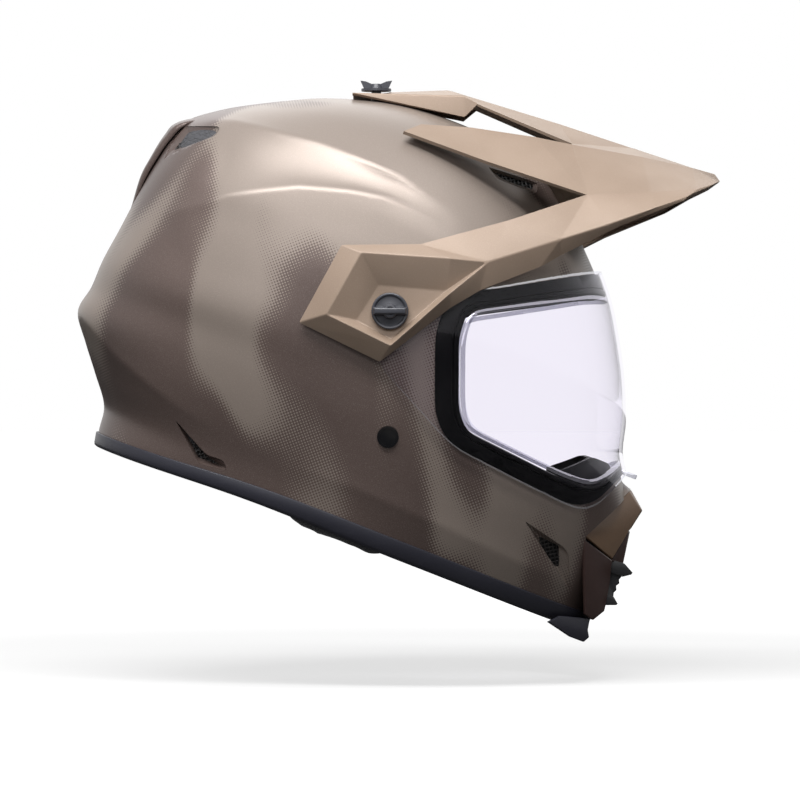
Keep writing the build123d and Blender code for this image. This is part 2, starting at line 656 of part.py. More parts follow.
def make_knob():
    # The side screw: a rimmed disc with a ridge across it, a hub and a shank.
    head = side_cylinder(KNOB_RADIUS, KNOB_PLANE, KNOB_PLANE + KNOB_RIM)
    dish = side_cylinder(KNOB_RADIUS - KNOB_STEP * 1.5, KNOB_PLANE + KNOB_RIM - KNOB_STEP,
                         KNOB_PLANE + KNOB_RIM)
    ridge_face = Rot(0, 0, RIM_TILT) * SlotOverall(
        (KNOB_RADIUS - KNOB_STEP) * 2, KNOB_RIDGE_WIDTH)
    top = KNOB_PLANE + KNOB_RIM + KNOB_RIDGE_RISE
    ridge = side_prism(ridge_face, KNOB_PLANE + KNOB_STEP, top)
    hub = side_cylinder(KNOB_HUB_RADIUS, KNOB_PLANE + KNOB_STEP, top - KNOB_STEP)
    shank = side_cylinder(SCREW_RADIUS, KNOB_PLANE - SCREW_REACH, KNOB_PLANE)
    return head - dish + ridge + hub + shank


def make_base_plate():
    plate = side_cylinder(PLATE_RADIUS, LAND_PLANE, PLATE_PLANE)
    hub = side_cylinder(HUB_RADIUS, LAND_PLANE, HUB_PLANE)
    bore = side_cylinder(SCREW_RADIUS + PIVOT_PLAY, 0, HUB_PLANE + OVERRUN)
    return plate + hub - bore


def make_side_insert():
    body = side_cylinder(INSERT_RADIUS, LAND_PLANE - INSERT_DEPTH, LAND_PLANE)
    seat = INNER_SIDE - BODY_GAP
    flange = side_cylinder(INSERT_FLANGE, seat - INSERT_FLANGE_THICKNESS, seat)
    bore = side_cylinder(SCREW_RADIUS + PIVOT_PLAY, 0, LAND_PLANE + OVERRUN)
    return body + flange - bore


def make_top_screw():
    base = (Align.CENTER, Align.CENTER, Align.MIN)
    disc = Pos(0, 0, TOP_SCREW_SEAT) * Cylinder(TOP_DISC_RADIUS, TOP_DISC_THICKNESS, align=base)
    top = TOP_SCREW_SEAT + TOP_DISC_THICKNESS
    boss = Pos(0, 0, top) * Cone(KNOB_HUB_RADIUS, KNOB_HUB_RADIUS * 0.7, WING_RISE * 0.6,
                                 align=base)
    wing = extrude(Plane.XZ * make_face(Polyline(
        [(-WING_SPAN * 0.6, top), (-WING_SPAN * 0.78, top + WING_RISE),
         (-WING_SPAN * 0.5, top + WING_RISE * 0.9), (0, top + WING_RISE * 0.35),
         (WING_SPAN * 0.5, top + WING_RISE * 0.9), (WING_SPAN * 0.78, top + WING_RISE),
         (WING_SPAN * 0.6, top)], close=True)), WING_THICKNESS / 2, both=True)
    reach = TOP_SCREW_SEAT - crown_height() + INSERT_DEPTH
    shank = Pos(0, 0, TOP_SCREW_SEAT - reach) * Cylinder(SCREW_RADIUS, reach, align=base)
    return top_place(disc + boss + wing + shank)


def make_top_insert():
    base = (Align.CENTER, Align.CENTER, Align.MIN)
    crown = crown_height()
    body = Pos(0, 0, crown - INSERT_DEPTH) * Cylinder(INSERT_RADIUS, INSERT_DEPTH - BODY_GAP,
                                                      align=base)
    seat = crown - SHELL_WALL - BODY_GAP * 3
    flange = Pos(0, 0, seat - INSERT_FLANGE_THICKNESS) * Cylinder(
        INSERT_FLANGE, INSERT_FLANGE_THICKNESS, align=base)
    bore = Pos(0, 0, crown - OVERRUN) * Cylinder(SCREW_RADIUS + PIVOT_PLAY, OVERRUN * 2,
                                                 align=base)
    return top_place(body + flange - bore)


def insert_rooms():
    # Pockets in the foam behind the side inserts and the top insert.
    side = side_cylinder(LAND_RADIUS + BODY_GAP * 2, LAND_PLANE - SCREW_REACH - BODY_GAP * 4,
                         SHELL_HALF_WIDTH + OVERRUN)
    top = top_place(Pos(0, 0, crown_height() - INSERT_DEPTH * 2) * Cylinder(
        INSERT_FLANGE + BODY_GAP, OVERRUN, align=(Align.CENTER, Align.CENTER, Align.MIN)))
    return both_sides(side) + top


def make_liner():
    liner = through_prism(side_outline(LINER_SHARES)) & hull(LINER_INSET)
    return liner - head_space(0) - insert_rooms()


def make_comfort_liner():
    zone = through_prism(side_outline(COMFORT_SHARES))
    pad = (head_space(BODY_GAP) & zone) - head_space(BODY_GAP + COMFORT_THICKNESS)
    for share in CHANNEL_SHARES:
        slot = Pos(0, HEAD_HALF_WIDTH * share, 0) * Box(SHELL_LENGTH * 2, CHANNEL_WIDTH,
                                                      SHELL_LENGTH * 2)
        floor = head_space(BODY_GAP + COMFORT_THICKNESS - CHANNEL_DEPTH)
        pad -= slot & floor
    return pad


def strap_room():
    # The way that each strap takes down between the shell and the cheek foam.
    low, high = up(CHEEK_SHARES[6][1]), RIVET_PLACE[1] + ANCHOR_RADIUS * 2
    face = Pos(RIVET_PLACE[0], (low + high) / 2) * Rectangle(
        STRAP_WIDTH + BODY_GAP * 6, high - low + OVERRUN)
    face = face & (Pos(0, high - SHELL_HEIGHT) * Rectangle(SHELL_LENGTH * 2, SHELL_HEIGHT * 2))
    inside = across(STRAP_SIDE_SHARES[0]) - STRAP_THICKNESS - BODY_GAP * 3
    return side_prism(face, inside, SHELL_HALF_WIDTH + OVERRUN)


def make_cheek_foam():
    face = side_outline(CHEEK_SHARES)
    foam = side_prism(face, CHEEK_FOAM_FACE, SHELL_HALF_WIDTH) & hull(LINER_INSET)
    return foam - strap_room() - through_prism(side_outline(LINER_SHARES))


def make_cheek_pad():
    # A cushion with a crowned inner face and drawn-in sides.
    face = offset(side_outline(CHEEK_SHARES), -CHEEK_PAD_ROUND)
    face = face - offset(side_outline(LINER_SHARES), BODY_GAP)
    back = CHEEK_FOAM_FACE - BODY_GAP
    middle = back - CHEEK_PAD_DEPTH * 0.6
    front = back - CHEEK_PAD_DEPTH
    waist = offset(face, CHEEK_PAD_ROUND * 0.5)
    crown = offset(face, -CHEEK_PAD_ROUND * 1.4)
    body = side_prism(face, middle, back) + side_prism(waist, middle, back - CHEEK_PAD_DEPTH * 0.2)
    crown_part = loft([Plane.XZ.offset(-middle) * face, Plane.XZ.offset(-front) * crown])
    return body + crown_part


def make_chin_foam():
    zone = through_prism(side_outline(CHIN_FOAM_SHARES)) & hull(LINER_INSET)
    foam = zone - hull(LINER_INSET + CHIN_FOAM_THICKNESS)
    passage = Pos(along(0.5), 0, (up(MOUTH_SHARES[0][1]) + up(MOUTH_SHARES[2][1])) / 2) * Box(
        SHELL_LENGTH, MOUTH_HALF_WIDTH * 2 + CHIN_PASSAGE_MARGIN,
        up(MOUTH_SHARES[0][1]) - up(MOUTH_SHARES[2][1]) + SHUTTER_TRAVEL * 2)
    return foam - passage


def make_neck_roll():
    zone = through_prism(side_outline(NECK_ROLL_SHARES)) & hull(LINER_INSET)
    return zone - hull(LINER_INSET + NECK_ROLL_THICKNESS)


def make_guard():
    zone = through_prism(side_outline(GUARD_SHARES))
    return (zone & hull(GUARD_INSET)) - hull(GUARD_INSET + GUARD_THICKNESS)


def make_rivet():
    floor = RIVET_SKIN - RIVET_HEAD_DEPTH
    head = side_cylinder(RIVET_HEAD_RADIUS, floor, RIVET_SKIN, RIVET_PLACE)
    dish = side_cylinder(RIVET_HEAD_RADIUS - RIVET_SET * 2, RIVET_SKIN - RIVET_SET, RIVET_SKIN,
                         RIVET_PLACE)
    tail = STRAP_INSIDE - ANCHOR_THICKNESS - BODY_GAP
    return head - dish + side_cylinder(RIVET_RADIUS, tail, floor, RIVET_PLACE)


def make_anchor():
    face = STRAP_INSIDE - BODY_GAP / 2
    disc = side_cylinder(ANCHOR_RADIUS, face - ANCHOR_THICKNESS, face, RIVET_PLACE)
    return disc - side_cylinder(RIVET_RADIUS + PIVOT_PLAY, 0, SHELL_HALF_WIDTH, RIVET_PLACE)


def strap_band(points):
    # A flat strap of one thickness whose middle follows the points, seen from the front.
    radii = [STRAP_BEND] * (len(points) - 2)
    path = FilletPolyline(points, radius=radii)
    trace_face = make_face(offset(path, STRAP_THICKNESS / 2, kind=Kind.INTERSECTION).edges())
    face = Plane.YZ.offset(RIVET_PLACE[0] - STRAP_WIDTH / 2) * trace_face
    return extrude(face, amount=STRAP_WIDTH, dir=(1, 0, 0))


def strap_points(end):
    side = (STRAP_OUTSIDE + STRAP_INSIDE) / 2
    first, corner, inner, last = [up(share) for share in STRAP_DROP_SHARES]
    top = RIVET_PLACE[1] + STRAP_LAP
    turn, under = [across(share) for share in STRAP_SIDE_SHARES]
    return [(side, top), (side, first), (turn, corner), (under, inner), (end, last)]


def make_right_strap():
    strap = mirror(strap_band(strap_points(-across(RIGHT_STRAP_END_SHARE))), about=Plane.XZ)
    return strap - rivet_seat(RIVET_RADIUS + PIVOT_PLAY, 0, SHELL_HALF_WIDTH)


def ring_place(rank):
    return (across(RING_PLACE_SHARE), up(STRAP_DROP_SHARES[3]) + RING_PITCH * (rank - 0.5))


def make_left_strap():
    # The short strap ends in a sewn loop that holds the straight bars of both rings.
    centre = across(RING_PLACE_SHARE)
    room = RING_RADIUS + MOVING_GAP
    strap = strap_band(strap_points(centre + room + STRAP_THICKNESS / 2))
    outer = SlotCenterToCenter(RING_PITCH, (room + STRAP_THICKNESS) * 2, rotation=90)
    inner = SlotCenterToCenter(RING_PITCH, room * 2, rotation=90)
    face = Pos(centre, up(STRAP_DROP_SHARES[3])) * (outer - inner)
    width = RING_WIDTH - RING_BEND
    loop = extrude(Plane.YZ.offset(RIVET_PLACE[0] - width / 2) * face, amount=width,
                   dir=(1, 0, 0))
    return strap + loop - rivet_seat(RIVET_RADIUS + PIVOT_PLAY, 0, SHELL_HALF_WIDTH)


def make_ring(rank):
    # A closed ring: a straight bar on the strap side and a round bow towards the centre.
    y, z = ring_place(rank)
    half = RING_WIDTH / 2
    path = FilletPolyline([(-half, 0), (half, 0), (half * 0.8, -RING_REACH),
                           (-half * 0.8, -RING_REACH)], radius=RING_BEND / 2, close=True)
    path = Pos(RIVET_PLACE[0], y, z) * path
    start = path @ 0
    profile = Plane(origin=start, z_dir=path % 0) * Circle(RING_RADIUS)
    return sweep(profile, path=path)


def all_nodes():
    nodes = {}
    shell = make_shell()
    nodes["outer_shell"] = shell
    nodes["rear_spoiler"] = make_spoiler()
    nodes["eyeport_gasket"] = make_gasket()
    nodes["base_trim"] = make_trim()
    for name, shares in (("upper_rear_vent", UPPER_VENT_SHARES), ("lower_rear_vent", LOWER_VENT_SHARES),
                         ("chin_side_vent", CHIN_VENT_SHARES), ("brow_vent", BROW_VENT_SHARES)):
        for side, shape in left_and_right(vent_grille(shares)).items():
            nodes[name + "_" + side] = shape
    nodes["chin_vent_cowl"] = make_cowl()
    nodes["chin_lower_panel"] = make_chin_panel()
    nodes["mouth_grille"] = make_mouth_grille()
    nodes["chin_vent_shutter"] = make_shutter()
    nodes["face_shield"] = make_shield()
    nodes["visor"] = make_visor()
    nodes["visor_top_screw"] = make_top_screw()
    nodes["visor_top_insert"] = make_top_insert()
    nodes["impact_liner"] = make_liner()
    nodes["comfort_liner"] = make_comfort_liner()
    nodes["chin_foam"] = make_chin_foam()
    nodes["neck_roll"] = make_neck_roll()
    nodes["breath_guard"] = make_guard()
    for name, make in (("visor_screw", make_knob), ("shield_base_plate", make_base_plate),
                       ("visor_insert", make_side_insert), ("strap_rivet", make_rivet),
                       ("strap_anchor", make_anchor), ("cheek_foam", make_cheek_foam),
                       ("cheek_pad", make_cheek_pad)):
        for side, shape in left_and_right(make()).items():
            nodes[name + "_" + side] = shape
    nodes["chin_strap_left"] = make_left_strap()
    nodes["chin_strap_right"] = make_right_strap()
    nodes["strap_ring_lower"] = make_ring(0)
    nodes["strap_ring_upper"] = make_ring(1)
    return nodes


os.makedirs("parts", exist_ok=True)
for node, shape in all_nodes().items():
    export_step(Rot(0, RIM_TILT, 0) * shape, "parts/" + node + ".step", write_pcurves=False)
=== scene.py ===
"""Looks of the dual sport helmet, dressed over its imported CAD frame.

Sizes are in millimetres in the level-rim frame, where x runs forward along the lower rim, y to the
wearer's left and z up from it. to_row tips them by the rim's slope and gives metres.
"""

import json
import logging
import math
from dataclasses import dataclass, field
from enum import Enum

import bmesh
import bpy
import numpy as np
from mathutils import Matrix, Vector

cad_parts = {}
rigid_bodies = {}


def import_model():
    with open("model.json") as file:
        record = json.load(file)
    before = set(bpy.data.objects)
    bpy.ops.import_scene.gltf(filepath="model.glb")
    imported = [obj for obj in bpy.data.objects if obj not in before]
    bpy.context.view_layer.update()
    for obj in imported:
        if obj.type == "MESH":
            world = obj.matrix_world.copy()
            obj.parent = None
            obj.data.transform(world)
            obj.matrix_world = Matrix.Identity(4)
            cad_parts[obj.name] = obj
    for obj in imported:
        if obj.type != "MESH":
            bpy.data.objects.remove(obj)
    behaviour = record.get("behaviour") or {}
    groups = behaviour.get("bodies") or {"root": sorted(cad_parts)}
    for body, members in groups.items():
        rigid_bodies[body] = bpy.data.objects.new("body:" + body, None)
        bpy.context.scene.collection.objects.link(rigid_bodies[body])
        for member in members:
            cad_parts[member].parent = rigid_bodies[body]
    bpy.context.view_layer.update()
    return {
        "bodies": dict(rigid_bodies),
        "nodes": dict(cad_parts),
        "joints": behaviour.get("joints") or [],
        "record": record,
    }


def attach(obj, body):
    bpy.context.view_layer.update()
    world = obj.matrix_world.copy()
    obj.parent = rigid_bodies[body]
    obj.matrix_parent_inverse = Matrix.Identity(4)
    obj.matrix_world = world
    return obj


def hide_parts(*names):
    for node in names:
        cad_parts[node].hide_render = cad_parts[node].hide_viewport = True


LOG = logging.getLogger("helmet")
TILT = math.radians(20.8)
MM = 0.001
Array = np.ndarray
Pairs = tuple[tuple[float, float], ...]
Triple = tuple[float, float, float]
SIDES = ((1.0, "left"), (-1.0, "right"))
TOP_SCREW_X = -8.7


# ---------------------------------------------------------------- frames and curves
def to_row(points: Array) -> Array:
    """Tips level-rim points into the worn attitude: x' = x cos T + z sin T, z' = z cos T - x sin T.

    Args:
        points: an array of points in millimetres, the last axis x, y, z.

    Returns:
        The points in metres in the row frame.
    """
    x, y, z = points[..., 0], points[..., 1], points[..., 2]
    c, s = math.cos(TILT), math.sin(TILT)
    return np.stack([x * c + z * s, y, z * c - x * s], -1) * MM


def from_worn(points: Array, way: float = 1.0) -> Array:
    """Brings points from the worn attitude to the level-rim one, in millimetres, or back with way -1."""
    c, s = math.cos(TILT), way * math.sin(TILT)
    x, z = points[..., 0], points[..., -1]
    level = [x * c - z * s, x * s + z * c]
    if points.shape[-1] == 3:
        level.insert(1, points[..., 1])
    return np.stack(level, -1)


def smooth_step(value: Array, low: float, high: float) -> Array:
    """Eases from 0 at low to 1 at high: 3 t^2 - 2 t^3."""
    t = np.clip((value - low) / (high - low), 0.0, 1.0)
    return t * t * (3.0 - 2.0 * t)


def hermite(knots: Array, values: Array, at: Array) -> Array:
    """Reads a smooth curve through knots, with each slope taken from its two neighbours.

    Args:
        knots: rising positions of the knots.
        values: one value a knot, or one row a knot.
        at: positions to read.

    Returns:
        The cubic h00 a + h10 w m_a + h01 b + h11 w m_b on each span.
    """
    slopes = np.gradient(values, knots, axis=0)
    i = np.clip(np.searchsorted(knots, at, side="right") - 1, 0, len(knots) - 2)
    width = knots[i + 1] - knots[i]
    t = (at - knots[i]) / width
    if values.ndim > 1:
        t, width = t[..., None], width[..., None]
    return ((2 * t**3 - 3 * t**2 + 1) * values[i] + (t**3 - 2 * t**2 + t) * width * slopes[i]
            + (3 * t**2 - 2 * t**3) * values[i + 1] + (t**3 - t**2) * width * slopes[i + 1])


def resample(path: Array, count: int, closed: bool) -> Array:
    """Spaces count points evenly by length along a path."""
    if closed:
        path = np.vstack([path, path[:1]])
    run = np.concatenate([[0.0], np.cumsum(np.linalg.norm(np.diff(path, axis=0), axis=1))])
    at = np.linspace(0.0, run[-1], count, endpoint=not closed)
    return np.stack([np.interp(at, run, path[:, k]) for k in range(path.shape[1])], -1)


def soften(path: Array, width: int, closed: bool) -> Array:
    """Rounds a path's corners with a running mean taken three times."""
    half = width // 2
    for _ in range(3):
        padded = (np.vstack([path[-half:], path, path[:half]]) if closed
                  else np.pad(path, ((half, half), (0, 0)), mode="edge"))
        total = np.cumsum(np.vstack([np.zeros((1, path.shape[1])), padded]), axis=0)
        path = (total[2 * half + 1:] - total[:-(2 * half + 1)]) / (2 * half + 1)
    return path


def line_offset(line: Array, x: Array, z: Array) -> tuple[Array, Array]:
    """Signed distance from a side-view line, positive above it, and the share of its length.

    Args:
        line: points (x, z) that run forward.
        x: side-view places.
        z: side-view places.

    Returns:
        The distance and the share from 0 to 1, each shaped as x.
    """
    best = np.full(x.shape, 1e9)
    sign = np.ones(x.shape)
    share = np.zeros(x.shape)
    steps = np.diff(line, axis=0)
    lengths = np.linalg.norm(steps, axis=1)
    run = np.concatenate([[0.0], np.cumsum(lengths)]) / lengths.sum()
    for k, (a, step, length) in enumerate(zip(line[:-1], steps, lengths)):
        dx, dz = x - a[0], z - a[1]
        t = np.clip((dx * step[0] + dz * step[1]) / length**2, 0.0, 1.0)
        gap = np.hypot(dx - t * step[0], dz - t * step[1])
        near = gap < best
        best = np.where(near, gap, best)
        sign = np.where(near, np.sign(step[0] * dz - step[1] * dx + 1e-9), sign)
        share = np.where(near, run[k] + t * (run[k + 1] - run[k]), share)
    return best * sign, share


def inside_outline(outline: Array, x: Array, z: Array) -> Array:
    """True where a side-view place lies inside a closed outline, by counting crossings."""
    found = np.zeros(x.shape, bool)
    for (ax, az), (bx, bz) in zip(outline, np.roll(outline, -1, axis=0)):
        if az == bz:
            continue
        crosses = (az > z) != (bz > z)
        found ^= crosses & (x < (bx - ax) * (z - az) / (bz - az) + ax)
    return found


# ---------------------------------------------------------------- the shell's own surface
@dataclass(frozen=True)
class Crease:
    """A crest h exp(-|d| / w) along a side-view line in the worn attitude, eased in and out.

    Both eases are shares of the line's length. One below 0 leaves the start at full height.
    """

    line: Pairs
    crest: float
    width: float
    rise: tuple[float, float]
    fall: tuple[float, float]

    def read(self, x: Array, z: Array) -> tuple[Array, Array, Array]:
        """The signed distance from the line, the ease and the crest's height at side-view places."""
        gap, share = line_offset(np.array(self.line), x, z)
        ease = smooth_step(share, *self.rise) * (1 - smooth_step(share, *self.fall))
        return gap, ease, self.crest * np.exp(-np.abs(gap) / self.width) * ease


@dataclass(frozen=True)
class ShellForm:
    """The closed form of the outer shell, from the same shares as the part's source."""

    length: float = 367.0
    height: float = 269.0
    half_width: float = 119.0
    wall: float = 3.6
    levels: tuple[tuple[float, ...], ...] = (
        (-0.5390, 0.4850, 0.3790, 0.855, 0.700, 0.740), (-0.4758, 0.4905, 0.3880, 0.882, 0.700, 0.740),
        (-0.4275, 0.4959, 0.3930, 0.903, 0.705, 0.740), (-0.3606, 0.4986, 0.4278, 0.933, 0.710, 0.735),
        (-0.3048, 0.4986, 0.4591, 0.954, 0.715, 0.730), (-0.2416, 0.4905, 0.4891, 0.975, 0.720, 0.720),
        (-0.1822, 0.4687, 0.4837, 0.987, 0.735, 0.730), (-0.1227, 0.4373, 0.4823, 0.996, 0.750, 0.740),
        (-0.0372, 0.4183, 0.4741, 1.000, 0.760, 0.740), (0.0558, 0.3896, 0.4659, 0.996, 0.760, 0.730),
        (0.1301, 0.3597, 0.4578, 0.975, 0.760, 0.720), (0.1933, 0.3311, 0.4496, 0.937, 0.750, 0.700),
        (0.2565, 0.2932, 0.4305, 0.866, 0.735, 0.680), (0.2974, 0.2643, 0.3896, 0.798, 0.725, 0.680),
        (0.3346, 0.2371, 0.3433, 0.719, 0.720, 0.690), (0.3717, 0.2016, 0.2916, 0.622, 0.715, 0.700),
        (0.4052, 0.1703, 0.2398, 0.504, 0.710, 0.705), (0.4312, 0.1308, 0.1853, 0.382, 0.707, 0.707),
        (0.4498, 0.0926, 0.1390, 0.265, 0.707, 0.707), (0.4610, 0.0518, 0.0872, 0.151, 0.707, 0.707))
    crown: tuple[float, float] = (-0.0190, 0.4647)
    rim: Pairs = ((-0.600, -0.491), (-0.324, -0.481), (-0.095, -0.461), (0.163, -0.462),
                  (0.425, -0.471), (0.600, -0.478))
    channel_depth: float = 2.4
    # The upper and lower crease with the channel between them, the tail's and the jaw's
    creases: tuple[Crease, ...] = (
        Crease(((-123, 118), (-103, 116), (-93, 114.5), (-68, 107.5), (-42, 99.7), (-15.7, 89),
                (6, 79.5), (18.5, 70.9), (35, 61), (55, 50)), 1.9, 9.0, (0.02, 0.15), (0.55, 0.95)),
        Crease(((-141, 53.4), (-132.6, 58.1), (-112.5, 63.4), (-97, 68.5), (-83.5, 70.5), (-54, 73.2),
                (-22, 70.5), (-3, 67), (20, 58), (45, 46)), 2.2, 13.0, (0.0, 0.12), (0.5, 0.95)),
        Crease(((-187, 0), (-169, -20), (-151.4, -36), (-128.6, -53.2), (-100, -72)),
               1.6, 9.0, (-0.2, -0.1), (0.55, 1.0)),
        Crease(((-70, -86), (-20, -104), (30, -126), (75, -148), (120, -166)),
               1.2, 10.0, (0.0, 0.3), (0.8, 1.0)))

    def table(self) -> tuple[Array, Array]:
        """Rows of the levels with the crown and a mirrored row beyond it, for smooth reading.

        Returns:
            The running length up the side of each row, and the rows: height, front, rear, half
            width and the two fullness powers, p = log 0.5 / log f.
        """
        rows = np.array(self.levels)
        size = np.array([self.height, self.length, self.length, self.half_width])
        powers = np.log(0.5) / np.log(rows[:, 4:6])
        rows = np.hstack([rows[:, :4] * size, powers])
        x, z = self.crown[0] * self.length, self.crown[1] * self.height
        top = [z, x, -x, 0.0, 2.0, 2.0]
        last = rows[-1]
        beyond = [last[0], -last[2], -last[1], -last[3], 2.0, 2.0]
        rows = np.vstack([rows, top, beyond])
        run = np.concatenate([[0.0], np.cumsum(np.hypot(np.diff(rows[:, 0]), np.diff(rows[:, 3])))])
        return run, rows

    def read(self, run_at: Array) -> Array:
        """Rows of the form at any running length up its side."""
        run, rows = self.table()
        return hermite(run, rows, run_at)

    def top_run(self) -> float:
        """The running length at the crown."""
        return float(self.table()[0][-2])

    def by_height(self, z: Array) -> Array:
        """Rows of the form at any height, read from a fine table."""
        at = np.linspace(0.0, self.top_run(), 900)
        rows = self.read(at)
        return np.stack([np.interp(z, rows[:, 0], rows[:, k]) for k in range(rows.shape[1])], -1)

    def rim_height(self, x: Array) -> Array:
        """Height of the lower rim at a place along the length."""
        line = np.array(self.rim) * [self.length, self.height]
        return hermite(line[:, 0], line[:, 1], np.clip(x, line[0, 0], line[-1, 0]))

    @staticmethod
    def fullness(rows: Array, forward: Array) -> Array:
        """The power p, from the rear's to the front's where forward, -1 to 1, passes 0."""
        fore = smooth_step(forward, -0.35, 0.35)
        return rows[..., 4] * fore + rows[..., 5] * (1 - fore)

    @staticmethod
    def span(rows: Array) -> tuple[Array, Array]:
        """Each level's middle along the length, and half of its length."""
        return (rows[..., 1] - rows[..., 2]) / 2, (rows[..., 1] + rows[..., 2]) / 2

    @staticmethod
    def section(rows: Array, turn: Array) -> Array:
        """Places round each level: r = (|cos a|^p + |sin a|^p)^(-1/p), stretched to the level's sizes.

        Args:
            rows: level rows, the last axis as in table.
            turn: the angle a from the nose.

        Returns:
            Points x, y, z.
        """
        c, s = np.cos(turn), np.sin(turn)
        power = ShellForm.fullness(rows, c)
        r = (np.abs(c)**power + np.abs(s)**power) ** (-1 / power)
        middle, half = ShellForm.span(rows)
        return np.stack(np.broadcast_arrays(middle + half * r * c, rows[..., 3] * r * s, rows[..., 0]), -1)

    def level(self, points: Array) -> Array:
        """How far out a point is: |u|^p + |y / w|^p, which is 1 on the surface."""
        rows = self.by_height(points[..., 2])
        middle, half = self.span(rows)
        u = (points[..., 0] - middle) / np.maximum(half, 1.0)
        power = self.fullness(rows, u)
        return np.abs(u)**power + np.abs(points[..., 1] / np.maximum(rows[..., 3], 1.0))**power

    def normals(self, points: Array) -> Array:
        """Outward directions, from central differences of level over a millimetre."""
        out = np.stack([self.level(points + step) - self.level(points - step)
                        for step in np.eye(3)], -1)
        return out / np.maximum(np.linalg.norm(out, axis=-1, keepdims=True), 1e-9)

    def at_side(self, x: Array, z: Array) -> Array:
        """Half width at side-view places: w (1 - |u|^p)^(1/p), and 0 outside the silhouette."""
        rows = self.by_height(z)
        middle, half = self.span(rows)
        u = (x - middle) / half
        power = self.fullness(rows, u)
        return rows[..., 3] * np.clip(1 - np.abs(u)**power, 0, None) ** (1 / power)

    def relief(self, points: Array) -> Array:
        """Height of the creases and of the channel over the plain form, in millimetres.

        The channel is depth 4 a b / (a + b)^2, with a and b the distances from the upper two creases.
        """
        worn = from_worn(points, -1.0)
        read = [crease.read(worn[..., 0], worn[..., 2]) for crease in self.creases]
        (upper, ease, _), (lower, _, _) = read[:2]
        a, b = np.clip(-upper, 0, None), np.clip(lower, 0, None)
        channel = 4 * a * b / np.maximum(a + b, 1e-6)**2
        return sum((height for _, _, height in read), -self.channel_depth * channel * ease)

    def wrap(self, outline: Array, step: float = 0.6) -> Array:
        """Carries a side-view outline that leaves over the front onto both halves, as one loop.

        Args:
            outline: closed (x, z) corners, some beyond the front silhouette.
            step: spacing of the places read along it.

        Returns:
            A closed loop of points of the plain form, symmetric about y = 0.
        """
        ends = np.roll(outline, -1, axis=0)
        runs = [a + (b - a) * np.linspace(0, 1, max(int(np.hypot(*(b - a)) / step * 12), 4),
                                          endpoint=False)[:, None] for a, b in zip(outline, ends)]
        line = np.vstack(runs)
        y = self.at_side(line[:, 0], line[:, 1])
        start = int(np.argmin(y))
        line, y = np.roll(line, -start, axis=0), np.roll(y, -start)
        keep = y > 0.0
        near = np.stack([line[keep, 0], y[keep], line[keep, 1]], -1)
        far = near[::-1] * [1, -1, 1]
        return np.vstack([near, far])


# ---------------------------------------------------------------- mesh helpers
def grid_faces(rows: int, cols: int, round_rows: bool = False, round_cols: bool = False) -> Array:
    """Quads of a grid of points, joined round where asked."""
    i = np.arange(rows if round_rows else rows - 1)
    j = np.arange(cols if round_cols else cols - 1)
    i, j = np.meshgrid(i, j, indexing="ij")
    up, on = (i + 1) % rows, (j + 1) % cols
    return np.stack([i * cols + j, i * cols + on, up * cols + on, up * cols + j], -1).reshape(-1, 4)


def tube_faces(rows: int, cols: int) -> list[list[int]]:
    """Faces of a stack of loops, with a cap at each end."""
    caps = [list(range(cols))[::-1], list(range((rows - 1) * cols, rows * cols))]
    return grid_faces(rows, cols, False, True).tolist() + caps


def add_piece(name: str, points: Array, faces: list, sharp: float = 32.0, closed: bool = True,
              marks: Array | None = None) -> bpy.types.Object:
    """Makes a smooth-shaded object from level-rim points.

    Args:
        name: the piece's name.
        points: points in millimetres.
        faces: lists or arrays of corner numbers.
        sharp: angle in degrees past which an edge stays sharp.
        closed: whether the normals are set outwards on a closed skin.
        marks: the number of each face's finish, if it has more than one.

    Returns:
        The object, at the origin.
    """
    mesh = bpy.data.meshes.new(name)
    mesh.from_pydata(to_row(points.reshape(-1, 3)).tolist(), [], [list(map(int, f)) for f in faces])
    if marks is not None:
        mesh.polygons.foreach_set("material_index", marks)
    piece = bpy.data.objects.new(name, mesh)
    bpy.context.scene.collection.objects.link(piece)
    tidy(piece, sharp, closed)
    return piece


def tidy(piece: bpy.types.Object, sharp: float = 32.0, recalculate: bool = True) -> None:
    """Merges doubles, turns faces outwards, shades smooth and keeps sharp edges sharp."""
    work = bmesh.new()
    work.from_mesh(piece.data)
    bmesh.ops.remove_doubles(work, verts=work.verts, dist=1e-6)
    if recalculate:
        bmesh.ops.recalc_face_normals(work, faces=work.faces)
    work.to_mesh(piece.data)
    work.free()
    piece.data.shade_smooth()
    piece.data.set_sharp_from_angle(angle=math.radians(sharp))
    piece.data.update()


def add_modifier(piece: bpy.types.Object, kind: str, **settings: object) -> bpy.types.Object:
    """Adds a modifier with its settings and hands the piece back."""
    modifier = piece.modifiers.new(kind.title(), kind)
    for key, value in settings.items():
        setattr(modifier, key, value)
    return piece


def bake(piece: bpy.types.Object) -> bpy.types.Object:
    """Applies every modifier of a piece."""
    graph = bpy.context.evaluated_depsgraph_get()
    done = bpy.data.meshes.new_from_object(piece.evaluated_get(graph))
    piece.modifiers.clear()
    piece.data = done
    return piece


def carve(piece: bpy.types.Object, cutters: list[bpy.types.Object], operation: str = "DIFFERENCE",
          sharp: float = 32.0) -> bpy.types.Object:
    """Cuts a closed piece with closed cutters, which are then removed."""
    for cutter in cutters:
        add_modifier(piece, "BOOLEAN", object=cutter, operation=operation, solver="MANIFOLD")
    bake(piece)
    for cutter in cutters:
        bpy.data.objects.remove(cutter)
    tidy(piece, sharp, False)
    return piece


def bevel(piece: bpy.types.Object, width: float, segments: int, limit: float,
          sharp: float) -> bpy.types.Object:
    """Rounds the edges past a limit in degrees, with a width in millimetres."""
    add_modifier(piece, "BEVEL", width=width * MM, segments=segments, limit_method="ANGLE",
                 angle_limit=math.radians(limit))
    bake(piece)
    tidy(piece, sharp, False)
    return piece


